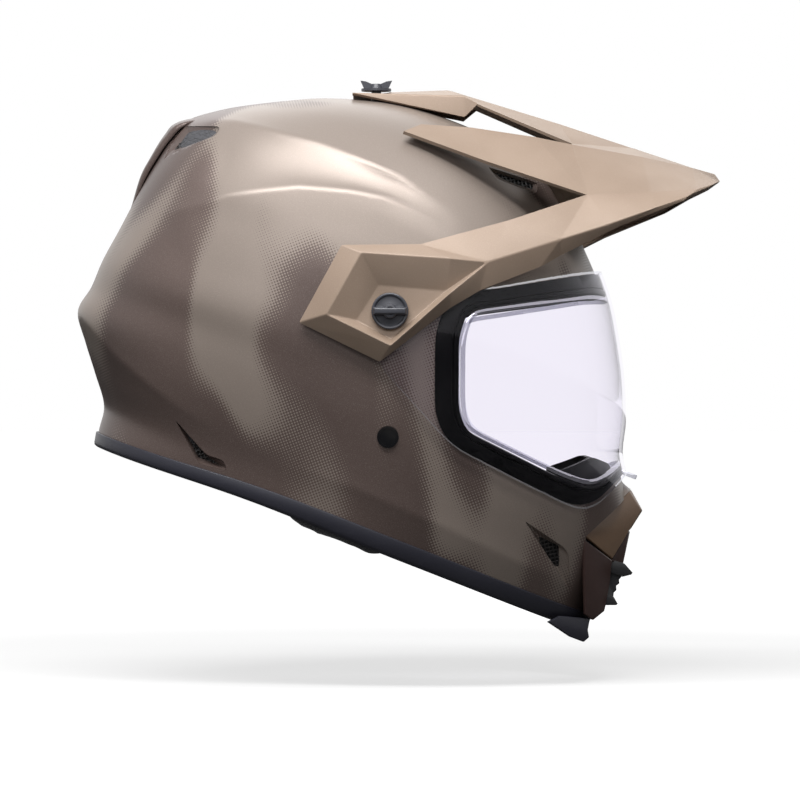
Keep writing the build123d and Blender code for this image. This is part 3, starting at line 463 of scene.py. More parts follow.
def block(outline: Array, near: float, far: float, axis: int = 1, name: str = "cutter",
          worn: bool = False) -> bpy.types.Object:
    """A closed block: an outline in the plane across an axis, carried from near to far along it.

    Args:
        outline: closed corners in that plane.
        near: where the block starts along the axis.
        far: where it ends.
        axis: 0, 1 or 2 for x, y or z.
        name: the piece's name.
        worn: whether the places are in the worn attitude.

    Returns:
        The closed piece.
    """
    points = np.vstack([np.insert(outline, axis, level, axis=1) for level in (near, far)])
    return add_piece(name, from_worn(points) if worn else points, tube_faces(2, len(outline)))


def both_blocks(outline: Array, near: float, far: float) -> list[bpy.types.Object]:
    """The same block on each side."""
    return [block(outline, near, far), block(outline, -near, -far)]


def disc_outline(radius: float, place: tuple[float, float] = (0.0, 0.0), count: int = 48) -> Array:
    """A circle in the side view."""
    a = np.linspace(0, 2 * math.pi, count, endpoint=False)
    return np.stack([place[0] + radius * np.cos(a), place[1] + radius * np.sin(a)], -1)


def thick_sheet(outer: Array, inner: Array, round_cols: bool = False) -> tuple[Array, list]:
    """Joins two equal grids into one closed wall.

    Args:
        outer: grid of points of the outer face.
        inner: grid of points of the inner face.
        round_cols: whether each row is a loop.

    Returns:
        The points and the faces.
    """
    rows, cols = outer.shape[:2]
    count = rows * cols
    faces = grid_faces(rows, cols, False, round_cols)
    back = faces[:, ::-1] + count
    edge: list[Array] = []
    first, last = np.arange(cols), np.arange(cols) + (rows - 1) * cols
    loops = [first, last] if round_cols else [np.concatenate([
        first, np.arange(1, rows) * cols + cols - 1, last[-2::-1], np.arange(rows - 2, 0, -1) * cols])]
    for loop in loops:
        on = np.roll(loop, -1)
        edge.append(np.stack([loop, loop + count, on + count, on], -1))
    return np.vstack([outer.reshape(-1, 3), inner.reshape(-1, 3)]), np.vstack([faces, back] + edge).tolist()


# ---------------------------------------------------------------- material tools
class Slot(Enum):
    """The record's material slots."""

    SHELL = "shell_paint"
    VISOR = "visor_paint"
    BRONZE = "bronze_paint"
    BROWN = "dark_brown_plastic"
    TRIM = "trim_rubber"
    SEAL = "seal_rubber"
    BLACK = "black_plastic"
    MESH = "vent_mesh"
    CLEAR = "clear_shield"
    KNOB = "knob_plastic"
    BRASS = "insert_brass"
    RIVET = "rivet_steel"
    PLAIN = "plain_steel"
    RING = "ring_steel"
    FOAM = "foam"
    LINING = "lining_fabric"
    WEBBING = "strap_webbing"


def colour(red: int, green: int, blue: int) -> tuple[float, float, float, float]:
    """A colour as it looks on screen, 0 to 255, made linear: ((c + 0.055) / 1.055)^2.4."""
    parts = [((c / 255 + 0.055) / 1.055) ** 2.4 if c > 10 else c / 255 / 12.92 for c in (red, green, blue)]
    return (parts[0], parts[1], parts[2], 1.0)


class Shade:
    """A socket's value in a material, whose operators add Math nodes."""

    def __init__(self, book: "NodeBook", socket: bpy.types.NodeSocket | None) -> None:
        """Keeps the book that the socket belongs to."""
        self.book, self.socket = book, socket

    def joined(self, operation: str, first: object, second: object = 0.0) -> "Shade":
        """One Math node on two values."""
        return self.book.node("ShaderNodeMath", {"operation": operation}, {0: first, 1: second})

    def __add__(self, other: object) -> "Shade":
        """Sum."""
        return self.joined("ADD", self, other)

    __radd__ = __add__

    def __sub__(self, other: object) -> "Shade":
        """Difference."""
        return self.joined("SUBTRACT", self, other)

    def __rsub__(self, other: object) -> "Shade":
        """Difference from a value."""
        return self.joined("SUBTRACT", other, self)

    def __mul__(self, other: object) -> "Shade":
        """Product."""
        return self.joined("MULTIPLY", self, other)

    __rmul__ = __mul__

    def __pow__(self, other: object) -> "Shade":
        """Power."""
        return self.joined("POWER", self, other)

    def cosine(self) -> "Shade":
        """Cosine of the value as an angle."""
        return self.joined("COSINE", self)

    def size(self) -> "Shade":
        """The value without its sign."""
        return self.joined("ABSOLUTE", self)

    def most(self, other: object) -> "Shade":
        """The larger of two values."""
        return self.joined("MAXIMUM", self, other)

    def step(self, low: float, high: float) -> "Shade":
        """Eases from 0 at low to 1 at high."""
        return self.book.node("ShaderNodeMapRange", {"interpolation_type": "SMOOTHSTEP"},
                              {"Value": self, "From Min": low, "From Max": high})


class NodeBook:
    """One node material, or another node tree, filled through a single node method."""

    def __init__(self, name: str, owner: bpy.types.World | None = None) -> None:
        """Starts an empty material, or an empty tree of its owner."""
        self.material = owner or bpy.data.materials.new(f"{name}_finish")
        self.material.use_nodes = True
        self.tree = self.material.node_tree
        self.tree.nodes.clear()

    def node(self, kind: str, settings: dict | None = None, inputs: dict | None = None,
             out: int | str = 0) -> Shade:
        """Adds a node.

        Args:
            kind: the node's type.
            settings: its own settings, set first.
            inputs: values or links of its sockets, by name or number.
            out: the socket handed back.

        Returns:
            The chosen output.
        """
        made = self.tree.nodes.new(kind)
        for key, value in (settings or {}).items():
            setattr(made, key, value)
        for key, value in (inputs or {}).items():
            if isinstance(value, Shade):
                self.tree.links.new(value.socket, made.inputs[key])
            else:
                made.inputs[key].default_value = value
        return Shade(self, made.outputs[out] if len(made.outputs) else None)

    def place(self, turn: Triple = (0.0, 0.0, 0.0), stretch: Triple = (1.0, 1.0, 1.0),
              shift: Triple = (0.0, 0.0, 0.0)) -> Shade:
        """Object coordinates, stretched and turned about the origin, then shifted."""
        at = self.node("ShaderNodeTexCoord", {}, {}, "Object")
        return self.node("ShaderNodeMapping", {}, {"Vector": at, "Location": shift, "Rotation": turn,
                                                    "Scale": stretch})

    def axes(self, vector: Shade) -> tuple[Shade, Shade, Shade]:
        """The three parts of a vector."""
        parts = [self.node("ShaderNodeSeparateXYZ", {}, {0: vector}, k) for k in range(3)]
        return parts[0], parts[1], parts[2]

    def noise(self, at: Shade, scale: float, detail: float = 2.0, distortion: float = 0.0) -> Shade:
        """Soft noise with its middle near a half."""
        return self.node("ShaderNodeTexNoise", {}, {"Vector": at, "Scale": scale, "Detail": detail,
                                                    "Distortion": distortion})

    def mix(self, share: object, first: object, second: object) -> Shade:
        """Blends two colours."""
        return self.node("ShaderNodeMix", {"data_type": "RGBA"}, {0: share, 6: first, 7: second}, 2)

    def bump(self, height: Shade, depth: float) -> Shade:
        """A normal from a height, with its full depth in metres."""
        return self.node("ShaderNodeBump", {}, {"Height": height, "Distance": depth})

    def surface(self, **sockets: object) -> Shade:
        """A Principled shader, its sockets named with underscores for spaces."""
        return self.node("ShaderNodeBsdfPrincipled", {},
                         {key.replace("_", " "): value for key, value in sockets.items()})

    def finish(self, shader: Shade) -> bpy.types.Material:
        """Joins the shader to the material's output."""
        self.node("ShaderNodeOutputMaterial", {}, {"Surface": shader})
        return self.material


# ---------------------------------------------------------------- finishes
@dataclass(frozen=True)
class BlotchedPaint:
    """Satin paint in wavy bands that change over through rows of fine dots."""

    light: tuple = colour(129, 118, 110)
    dark: tuple = colour(94, 80, 75)
    deep: tuple = colour(78, 65, 61)
    pitch: float = 0.00165

    def dots(self, book: NodeBook) -> Shade:
        """Rows of dots on the side or top plane, 0.5 + (cos 2 pi u / p + cos 2 pi v / p) / 4."""
        along, across, up = book.axes(book.place((0.0, 0.35, 0.0)))
        facing = book.node("ShaderNodeNewGeometry", {}, {}, "Normal")
        nose, _, top = book.axes(facing)
        over = (top.size() - 0.80).step(-0.01, 0.01)
        ahead = (nose.size() - 0.80).step(-0.01, 0.01)
        wave = 2 * math.pi / self.pitch
        side_sum = (along * wave).cosine() + (up * wave).cosine()
        top_sum = (along * wave).cosine() + (across * wave).cosine()
        front_sum = (across * wave).cosine() + (up * wave).cosine()
        joined = side_sum * (1 - over) * (1 - ahead) + top_sum * over + front_sum * ahead * (1 - over)
        return joined * 0.25 + 0.5

    def build(self) -> bpy.types.Material:
        """Makes the material."""
        book = NodeBook(Slot.SHELL.value)
        band = book.noise(book.place((0.0, 0.25, 0.3), (14.0, 14.0, 5.0), (0.9, 0.0, 0.0)), 1.0, 1.2, 0.5)
        patch = book.noise(book.place((0.4, 0.0, 0.2), (7.0, 7.0, 4.0)), 1.0, 1.0, 0.3)
        field = (band * 0.7 + patch * 0.3).step(0.41, 0.55)
        mask = (field * 1.3 - 0.15 - self.dots(book)).step(-0.12, 0.12)
        depth = patch.step(0.35, 0.65)
        base = book.mix(depth, self.deep, self.dark)
        tone = book.mix(mask, base, self.light)
        flake = book.noise(book.place(), 3200.0, 1.0)
        tone = book.mix(flake.step(0.50, 0.75) * 0.10, tone, colour(215, 205, 198))
        peel = book.noise(book.place(), 900.0, 2.0)
        rough = flake * 0.08 + 0.33
        shine = book.surface(Base_Color=tone, Roughness=rough, Metallic=0.32, Specular_IOR_Level=0.45,
                             Normal=book.bump(peel, 0.00003))
        return book.finish(shine)


@dataclass(frozen=True)
class SatinPaint:
    """Plain satin paint with fine flake, slow unevenness and a faint orange peel."""

    slot: Slot
    light: tuple
    deep: tuple
    roughness: float = 0.46
    metallic: float = 0.12

    def build(self) -> bpy.types.Material:
        """Makes the material."""
        book = NodeBook(self.slot.value)
        at = book.place()
        cloud = book.noise(at, 22.0, 2.0).step(0.3, 0.7)
        flake = book.noise(at, 3000.0, 1.0)
        tone = book.mix(cloud, self.deep, self.light)
        tone = book.mix(flake.step(0.52, 0.78) * 0.07, tone, colour(240, 230, 220))
        rough = book.noise(at, 120.0, 2.0) * 0.08 + (self.roughness - 0.04)
        peel = book.noise(at, 800.0, 2.0)
        return book.finish(book.surface(Base_Color=tone, Roughness=rough, Metallic=self.metallic,
                                        Specular_IOR_Level=0.35, Normal=book.bump(peel, 0.00003)))


@dataclass(frozen=True)
class Moulded:
    """Moulded plastic or rubber with a fine grain, slow shade and light scuffs."""

    slot: Slot
    tone: tuple
    worn: tuple
    roughness: float = 0.5
    grain: float = 1400.0
    depth: float = 0.00004
    shine: float = 0.35

    def build(self) -> bpy.types.Material:
        """Makes the material."""
        book = NodeBook(self.slot.value)
        at = book.place()
        grain = book.noise(at, self.grain, 3.0)
        scuff = book.noise(book.place((0.3, 0.2, 0.1), (1.0, 1.0, 4.0)), 60.0, 4.0).step(0.56, 0.74)
        cloud = book.noise(at, 18.0, 2.0).step(0.3, 0.7)
        tone = book.mix(cloud * 0.35 + scuff * 0.25, self.tone, self.worn)
        rough = grain * 0.10 + scuff * 0.06 + (self.roughness - 0.06)
        return book.finish(book.surface(Base_Color=tone, Roughness=rough,
                                        Specular_IOR_Level=self.shine, Normal=book.bump(grain, self.depth)))


@dataclass(frozen=True)
class ClearSheet:
    """Clear hard-coated sheet: see-through with a faint tint, and glossy at grazing angles."""

    name: str = "clear_shield"
    tint: tuple = colour(252, 251, 254)
    veil: float = 0.0

    def build(self) -> bpy.types.Material:
        """Makes the material, its factor the Fresnel share and the veil on outward faces alone."""
        book = NodeBook(self.name)
        haze = book.noise(book.place(), 35.0, 2.0)
        through = book.node("ShaderNodeBsdfTransparent", {}, {"Color": self.tint})
        gloss = book.surface(Base_Color=colour(246, 246, 250), Roughness=haze * 0.03 + 0.02, Metallic=1.0)
        edge = book.node("ShaderNodeFresnel", {}, {"IOR": 1.28})
        behind = book.node("ShaderNodeNewGeometry", {}, {}, "Backfacing")
        share = (edge * (1.0 - self.veil) + self.veil) * (1.0 - behind)
        return book.finish(book.node("ShaderNodeMixShader", {}, {0: share, 1: through, 2: gloss}))


@dataclass(frozen=True)
class Metal:
    """Machined or plated metal with fine streaks."""

    slot: Slot
    tone: tuple
    roughness: float = 0.25

    def build(self) -> bpy.types.Material:
        """Makes the material."""
        book = NodeBook(self.slot.value)
        streak = book.noise(book.place((0.0, 0.0, 0.0), (1.0, 12.0, 1.0)), 300.0, 3.0)
        cloud = book.noise(book.place(), 80.0, 3.0)
        tone = book.mix(cloud.step(0.35, 0.75) * 0.3, self.tone, colour(60, 58, 56))
        rough = streak * 0.14 + (self.roughness - 0.05)
        return book.finish(book.surface(Base_Color=tone, Roughness=rough, Metallic=1.0,
                                        Normal=book.bump(streak, 0.00001)))


@dataclass(frozen=True)
class BeadFoam:
    """Moulded bead foam: flattened beads about 3 mm across with dark joints."""

    tone: tuple = colour(58, 58, 62)

    def build(self) -> bpy.types.Material:
        """Makes the material."""
        book = NodeBook(Slot.FOAM.value)
        at = book.place()
        cell = book.node("ShaderNodeTexVoronoi", {"feature": "DISTANCE_TO_EDGE"},
                         {"Vector": at, "Scale": 330.0})
        bead = cell.step(0.0, 0.14)
        shade = book.axes(book.node("ShaderNodeTexVoronoi", {}, {"Vector": at, "Scale": 330.0}, "Color"))[0]
        tone = book.mix(bead, colour(26, 26, 29), self.tone)
        tone = book.mix(shade * 0.2, tone, colour(80, 80, 84))
        return book.finish(book.surface(Base_Color=tone, Roughness=bead * 0.2 + 0.6,
                                        Normal=book.bump(bead, 0.0003)))


@dataclass(frozen=True)
class KnitLining:
    """Brushed knit over soft foam: fine wales, fuzz and slow shade."""

    tone: tuple = colour(66, 66, 70)
    dark: tuple = colour(34, 34, 38)

    def build(self) -> bpy.types.Material:
        """Makes the material, its wales cos(2 pi u / 1.3 mm) against cos(2 pi v / 1.7 mm)."""
        book = NodeBook(Slot.LINING.value)
        along, across, up = book.axes(book.place())
        wale = ((along + across * 0.6) * (2 * math.pi / 0.0013)).cosine()
        course = ((up + across * 0.4) * (2 * math.pi / 0.0017)).cosine()
        knit = (wale + course) * 0.25 + 0.5
        fuzz = book.noise(book.place(), 1600.0, 3.0)
        cloud = book.noise(book.place(), 30.0, 3.0).step(0.3, 0.7)
        tone = book.mix(knit * 0.6 + fuzz * 0.4, self.dark, self.tone)
        tone = book.mix(cloud * 0.25, tone, colour(84, 84, 90))
        return book.finish(book.surface(Base_Color=tone, Roughness=fuzz * 0.15 + 0.78, Sheen_Weight=0.35,
                                        Sheen_Roughness=0.5, Normal=book.bump(knit + fuzz, 0.00035)))


@dataclass(frozen=True)
class Webbing:
    """Woven strap: slanted ribs across its width, from its own UV map."""

    tone: tuple = colour(46, 46, 50)

    def build(self) -> bpy.types.Material:
        """Makes the material, its ribs cos(2 pi (u / 1.6 mm +- v / 3 mm))."""
        book = NodeBook(Slot.WEBBING.value)
        place = book.node("ShaderNodeUVMap", {"uv_map": "weave"}, {})
        run, side, _ = book.axes(place)
        along, across = run * (2 * math.pi / 0.0016), side * (2 * math.pi / 0.003)
        rib = (along + across).cosine().most((along - across).cosine())
        fuzz = book.noise(book.place(), 1800.0, 2.0)
        tone = book.mix(rib * 0.4 + 0.4 + fuzz * 0.2, colour(18, 18, 21), self.tone)
        return book.finish(book.surface(Base_Color=tone, Roughness=fuzz * 0.15 + 0.62,
                                        Normal=book.bump(rib + fuzz * 0.4, 0.0003)))


class Paints:
    """Every finish of the helmet, made once."""

    def __init__(self) -> None:
        """Builds the materials and keeps them by slot and by name."""
        finishes = [BlotchedPaint(), SatinPaint(Slot.VISOR, colour(143, 125, 110), colour(135, 117, 102)),
                    SatinPaint(Slot.BRONZE, colour(128, 102, 80), colour(117, 92, 71), 0.42, 0.12),
                    Moulded(Slot.BROWN, colour(66, 50, 47), colour(74, 57, 54), 0.42, 1400.0, 0.00001, 0.2),
                    Moulded(Slot.TRIM, colour(36, 36, 44), colour(46, 46, 54), 0.40, 900.0, 0.000012, 0.25),
                    Moulded(Slot.SEAL, colour(5, 5, 6), colour(12, 12, 14), 0.34, 900.0, 0.000004, 0.12),
                    Moulded(Slot.BLACK, colour(20, 20, 22), colour(34, 34, 36), 0.50),
                    Moulded(Slot.MESH, colour(30, 28, 28), colour(52, 50, 48), 0.40),
                    ClearSheet(), ClearSheet("clear_edge", colour(240, 240, 246), 0.45),
                    Moulded(Slot.KNOB, colour(54, 55, 61), colour(74, 75, 81), 0.34, 1200.0, 0.00002),
                    Metal(Slot.BRASS, colour(205, 170, 105), 0.3), Metal(Slot.RIVET, colour(22, 22, 24), 0.4),
                    Metal(Slot.PLAIN, colour(160, 160, 164), 0.34),
                    Metal(Slot.RING, colour(215, 215, 220), 0.16),
                    BeadFoam(), KnitLining(), Webbing()]
        made = [finish.build() for finish in finishes]
        self.by_name = {material.name.removesuffix("_finish"): material for material in made}

    def dress(self, piece: bpy.types.Object, slot: Slot, body: str, *nodes: str,
              names: tuple[str, ...] = ()) -> bpy.types.Object:
        """Gives a piece its finish and its body, and hides the CAD nodes that it stands for."""
        marks = np.zeros(len(piece.data.polygons), np.int32)
        piece.data.polygons.foreach_get("material_index", marks)
        piece.data.materials.clear()
        for name in names or (slot.value,):
            piece.data.materials.append(self.by_name[name])
        piece.data.polygons.foreach_set("material_index", np.clip(marks, 0, max(len(names) - 1, 0)))
        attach(piece, body)
        if nodes:
            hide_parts(*nodes)
        LOG.info("%s on %s: %d faces", piece.name, body, len(piece.data.polygons))
        return piece


# ---------------------------------------------------------------- shapes on the shell's form
FORM = ShellForm()


def smooth_outline(corners: Pairs, width: int = 9, count: int = 420) -> Array:
    """A closed side-view outline with its corners rounded."""
    return soften(resample(np.array(corners), count, True), width, True)


def grown(outline: Array, distance: float) -> Array:
    """Moves a closed outline outwards by a distance, along its own normals."""
    along = np.roll(outline, -1, axis=0) - np.roll(outline, 1, axis=0)
    along /= np.linalg.norm(along, axis=1, keepdims=True)
    ends = np.roll(outline, -1, axis=0)
    area = np.sum(outline[:, 0] * ends[:, 1] - ends[:, 0] * outline[:, 1])
    out = np.stack([along[:, 1], -along[:, 0]], -1) * np.sign(area)
    return outline + out * distance


def room_within(outline: Array, limit: Array, most: float) -> Array:
    """How far each place of an outline can grow before it leaves another outline, up to a most."""
    steps = np.linspace(most, 0.0, 40)
    along = np.array([grown(outline, step) for step in steps])
    within = inside_outline(limit, along[..., 0], along[..., 1])
    within[-1] = True
    room = steps[np.argmax(within, axis=0)][:, None]
    return soften(room, 9, True)


def band_round(outline: Array, profile: Array, count: int = 520,
               room: Array | None = None) -> tuple[Array, list]:
    """A closed profile carried round an outline that wraps the front of the shell.

    Args:
        outline: the side-view outline.
        profile: corners (growth of the outline, height over the plain form), in millimetres.
        count: places along the loop.
        room: the growth that the profile's widest corner gets at each place.

    Returns:
        The points and faces of a closed ring.
    """
    loops = []
    widest = float(profile[:, 0].max())
    for growth, height in profile:
        reach = growth if room is None or growth <= 0 else room * (growth / widest)
        loop = resample(FORM.wrap(grown(outline, reach)), count, True)
        loops.append(loop + FORM.normals(loop) * height)
    return np.array(loops), grid_faces(len(loops), count, True, True).tolist()


def patch_on(outline: Array, inner: float, outer: float, reach: float, cols: int = 260,
             rows: int = 40) -> tuple[Array, list, Array]:
    """A sheet over the form within a side-view outline, from side to side across the front.

    Each column keeps one turn about the level's middle and runs between the outline's lowest and
    highest place on it.

    Args:
        outline: closed side-view outline.
        inner: height of the inner face over the plain form.
        outer: height of the outer face.
        reach: greatest turn from the nose, in degrees.
        cols: columns tried.
        rows: rows of each column.

    Returns:
        Points, faces and a mark for each face, 1 on the sheet's edge.
    """
    turn = np.radians(np.linspace(-reach, reach, cols))
    z = np.linspace(outline[:, 1].min(), outline[:, 1].max(), 700)
    places = FORM.section(FORM.by_height(z)[:, None], turn[None])
    within = inside_outline(outline, places[..., 0], places[..., 2])
    keep = within.any(axis=0)
    low = z[np.argmax(within, axis=0)][keep]
    high = z[len(z) - 1 - np.argmax(within[::-1], axis=0)][keep]
    share = np.concatenate([[0.0, 0.009], np.linspace(0.035, 0.965, rows - 4), [0.991, 1.0]])
    level = low + (high - low) * share[:, None]
    skin = FORM.section(FORM.by_height(level), turn[keep][None])
    out = FORM.normals(skin)
    points, faces = thick_sheet(skin + out * outer, skin + out * inner)
    marks = np.ones(len(faces), int)
    wide = int(keep.sum()) - 1
    marks[:2 * (rows - 1) * wide] = 0
    marks[:wide] = 1
    marks[(rows - 2) * wide:(rows - 1) * wide] = 1
    return points, faces, marks


def lathe(name: str, profile: Array, side: float, count: int, ring: bool, sharp: float) -> bpy.types.Object:
    """Turns a (radius, width) profile about the pivots' axis.

    Args:
        name: the piece's name.
        profile: corners, the widths measured from the middle of the helmet.
        side: 1 on the left, -1 on the right.
        count: places round.
        ring: whether the profile closes on itself, and doesn't start and end on the axis.
        sharp: angle in degrees past which an edge stays sharp.

    Returns:
        The closed piece.
    """
    a = np.linspace(0, 2 * math.pi, count, endpoint=False)
    radius, width = profile[:, :1], np.broadcast_to(side * profile[:, 1:], (len(profile), count))
    points = np.stack([radius * np.cos(a), width, radius * np.sin(a)], -1)
    return add_piece(name, points, grid_faces(len(profile), count, ring, True).tolist(), sharp)


# ---------------------------------------------------------------- shell and what it carries
@dataclass
class OuterShell:
    """The painted shell with its openings, port seal, rim channel and rear strip."""

    paints: Paints
    turns: int = 340
    rows: int = 165
    inner_rows: int = 22
    lap: float = 3.5
    eyeport: Pairs = ((41.1, 18.0), (110.1, 56.0), (220.0, 80.7), (220.0, -31.0), (166.0, -34.5),
                      (159.0, -47.0), (149.0, -57.0), (125.9, -57.0), (66.4, -51.1), (56.9, -40.4),
                      (41.8, 0.0))
    rivet: tuple[float, float] = (25.1, -69.5)
    chin_room: Pairs = ((157.6, -83.3), (162.2, -74.6), (167.5, -65.2), (176.6, -48.6), (230.0, -40.0),
                        (230.0, -150.0), (176.0, -127.0), (166.3, -105.5), (158.4, -86.0))
    vents: dict[str, Pairs] = field(default_factory=dict)
    shield: Pairs = ()

    def skin(self, rows: int) -> tuple[Array, Array]:
        """The plain form from just under the rim to the crown, with its outward directions.

        Args:
            rows: levels between the rim and the crown.

        Returns:
            Grids of points and of unit directions, (around) x (up), and straight up at the crown.
        """
        turn = np.linspace(0, 2 * math.pi, self.turns, endpoint=False)
        z = np.full(self.turns, -125.0)
        for _ in range(4):
            z = FORM.rim_height(FORM.section(FORM.by_height(z), turn)[:, 0]) - self.lap
        at = np.linspace(0.0, FORM.top_run(), 900)
        start = np.interp(z, FORM.read(at)[:, 0], at)
        run = start + (FORM.top_run() - start) * np.linspace(0, 1, rows)[:, None]
        points = FORM.section(FORM.read(run), turn[None])
        around = np.roll(points, -1, axis=1) - np.roll(points, 1, axis=1)
        out = np.cross(around, np.gradient(points, axis=0))
        out /= np.maximum(np.linalg.norm(out, axis=-1, keepdims=True), 1e-9)
        out[-1] = [0.0, 0.0, 1.0]
        return points, out

    def body(self) -> bpy.types.Object:
        """The closed wall: inner rows from the crown down, then outer rows back up."""
        outer, out = self.skin(self.rows)
        outer = outer + out * FORM.relief(outer)[..., None]
        inner, out = self.skin(self.inner_rows)
        inner = inner - out * FORM.wall
        grid = np.concatenate([inner[::-1], outer])
        shell = add_piece("outer_shell_paint", grid, grid_faces(len(grid), self.turns, False, True).tolist())
        cutters = [block(smooth_outline(self.eyeport, 7), -190.0, 190.0)]
        mouth = np.array([(150.0, -98.2), (230.0, -98.2), (230.0, -121.0), (150.0, -121.0)])
        cutters.append(block(mouth, -25.4, 25.4))
        cutters.append(block(np.array(self.chin_room), -90.0, 90.0))
        for outline in self.vents.values():
            cutters += both_blocks(smooth_outline(outline, 5, 160), 23.8, 190.0)
        cutters += both_blocks(disc_outline(6.7, self.rivet), 114.0, 190.0)
        cutters += both_blocks(disc_outline(3.0, self.rivet), 90.0, 150.0)
        cutters += both_blocks(disc_outline(5.1), 90.0, 190.0)
        cutters.append(block(disc_outline(5.1, (TOP_SCREW_X, 0.0)), 100.0, 160.0, 2, worn=True))
        return carve(shell, cutters, sharp=38.0)

    def port_seal(self) -> bpy.types.Object:
        """The black band round the window, with a raised inner bead and a lip over the cut edge."""
        profile = np.array([(12.6, 0.1), (12.6, 1.3), (12.0, 1.7), (3.0, 1.7), (2.6, 1.2), (2.1, 1.2),
                            (1.7, 1.9), (-0.2, 2.0), (-1.2, 1.5), (-1.4, -4.4), (-0.3, -4.4), (-0.2, 0.1)])
        port = smooth_outline(self.eyeport, 7)
        room = room_within(port, grown(smooth_outline(self.shield, 9, 500), -0.8), 12.6)
        points, faces = band_round(port, profile, room=room)
        return add_piece("eyeport_seal", points, faces, 40.0)

    def rim_ring(self, proud: float, drop: Array | float) -> Array:
        """A loop along the lower rim, a drop below its line and a height over the form."""
        turn = np.linspace(0, 2 * math.pi, self.turns * 2, endpoint=False)
        z = np.full(len(turn), -125.0)
        for _ in range(5):
            place = FORM.section(FORM.by_height(z), turn)
            z = FORM.rim_height(place[:, 0]) - drop * (0.74 + 0.26 * smooth_step(place[:, 0], -130.0, 60.0))
        return place + FORM.normals(place) * proud

    def rim_channel(self) -> bpy.types.Object:
        """The rubber channel on the lower edge: a rounded U with a slot for the shell."""
        profile = [(0.35, 0.0), (1.3, 0.15), (1.6, 0.6), (1.6, 8.6), (1.3, 10.4), (0.3, 11.4), (-3.5, 11.4),
                   (-5.3, 10.6), (-5.6, 9.0), (-5.6, 0.3), (-4.1, 0.0), (-4.1, 5.6), (0.3, 5.6)]
        loops = np.array([self.rim_ring(proud, drop) for proud, drop in profile])
        faces = grid_faces(*loops.shape[:2], True, True).tolist()
        return add_piece("rim_channel", loops, faces, 44.0)

    def rear_strip(self) -> bpy.types.Object:
        """The raised strip on the rear centre line, lifted off the shell by a slit at its edge."""
        share = np.linspace(0, 1, 90)[:, None]
        z = -2.7 + 75.3 * share
        half = 10.8 + 13.2 * share
        s = np.linspace(-1, 1, 60)[None]
        y = half * s
        rows = FORM.by_height(np.broadcast_to(z, y.shape))
        middle, reach = FORM.span(rows)
        power = rows[..., 5]
        x = middle - reach * (1 - np.abs(y / rows[..., 3])**power) ** (1 / power)
        skin = np.stack([x, y, rows[..., 0]], -1)
        out = FORM.normals(skin)
        edge = (1 - np.abs(s)) * half
        ramp = smooth_step(share, 0.0, 0.45) * (1 - smooth_step(share, 0.80, 1.0))
        top = -0.6 + ramp * (2.8 + 2.4 * (1 - np.exp(-edge / 1.3)))
        foot = np.minimum(0.1 + 1.7 * (1 - smooth_step(edge, 0.8, 3.5)), top - 0.9)
        points, faces = thick_sheet(skin + out * top[..., None], skin + out * foot[..., None])
        return add_piece("rear_strip", points, faces, 50.0)

    def build(self) -> None:
        """Makes and dresses the shell group."""
        self.paints.dress(self.body(), Slot.SHELL, "helmet", "outer_shell")
        self.paints.dress(self.port_seal(), Slot.SEAL, "helmet", "eyeport_gasket")
        self.paints.dress(self.rim_channel(), Slot.TRIM, "helmet", "base_trim")
        self.paints.dress(self.rear_strip(), Slot.SHELL, "helmet", "rear_spoiler")


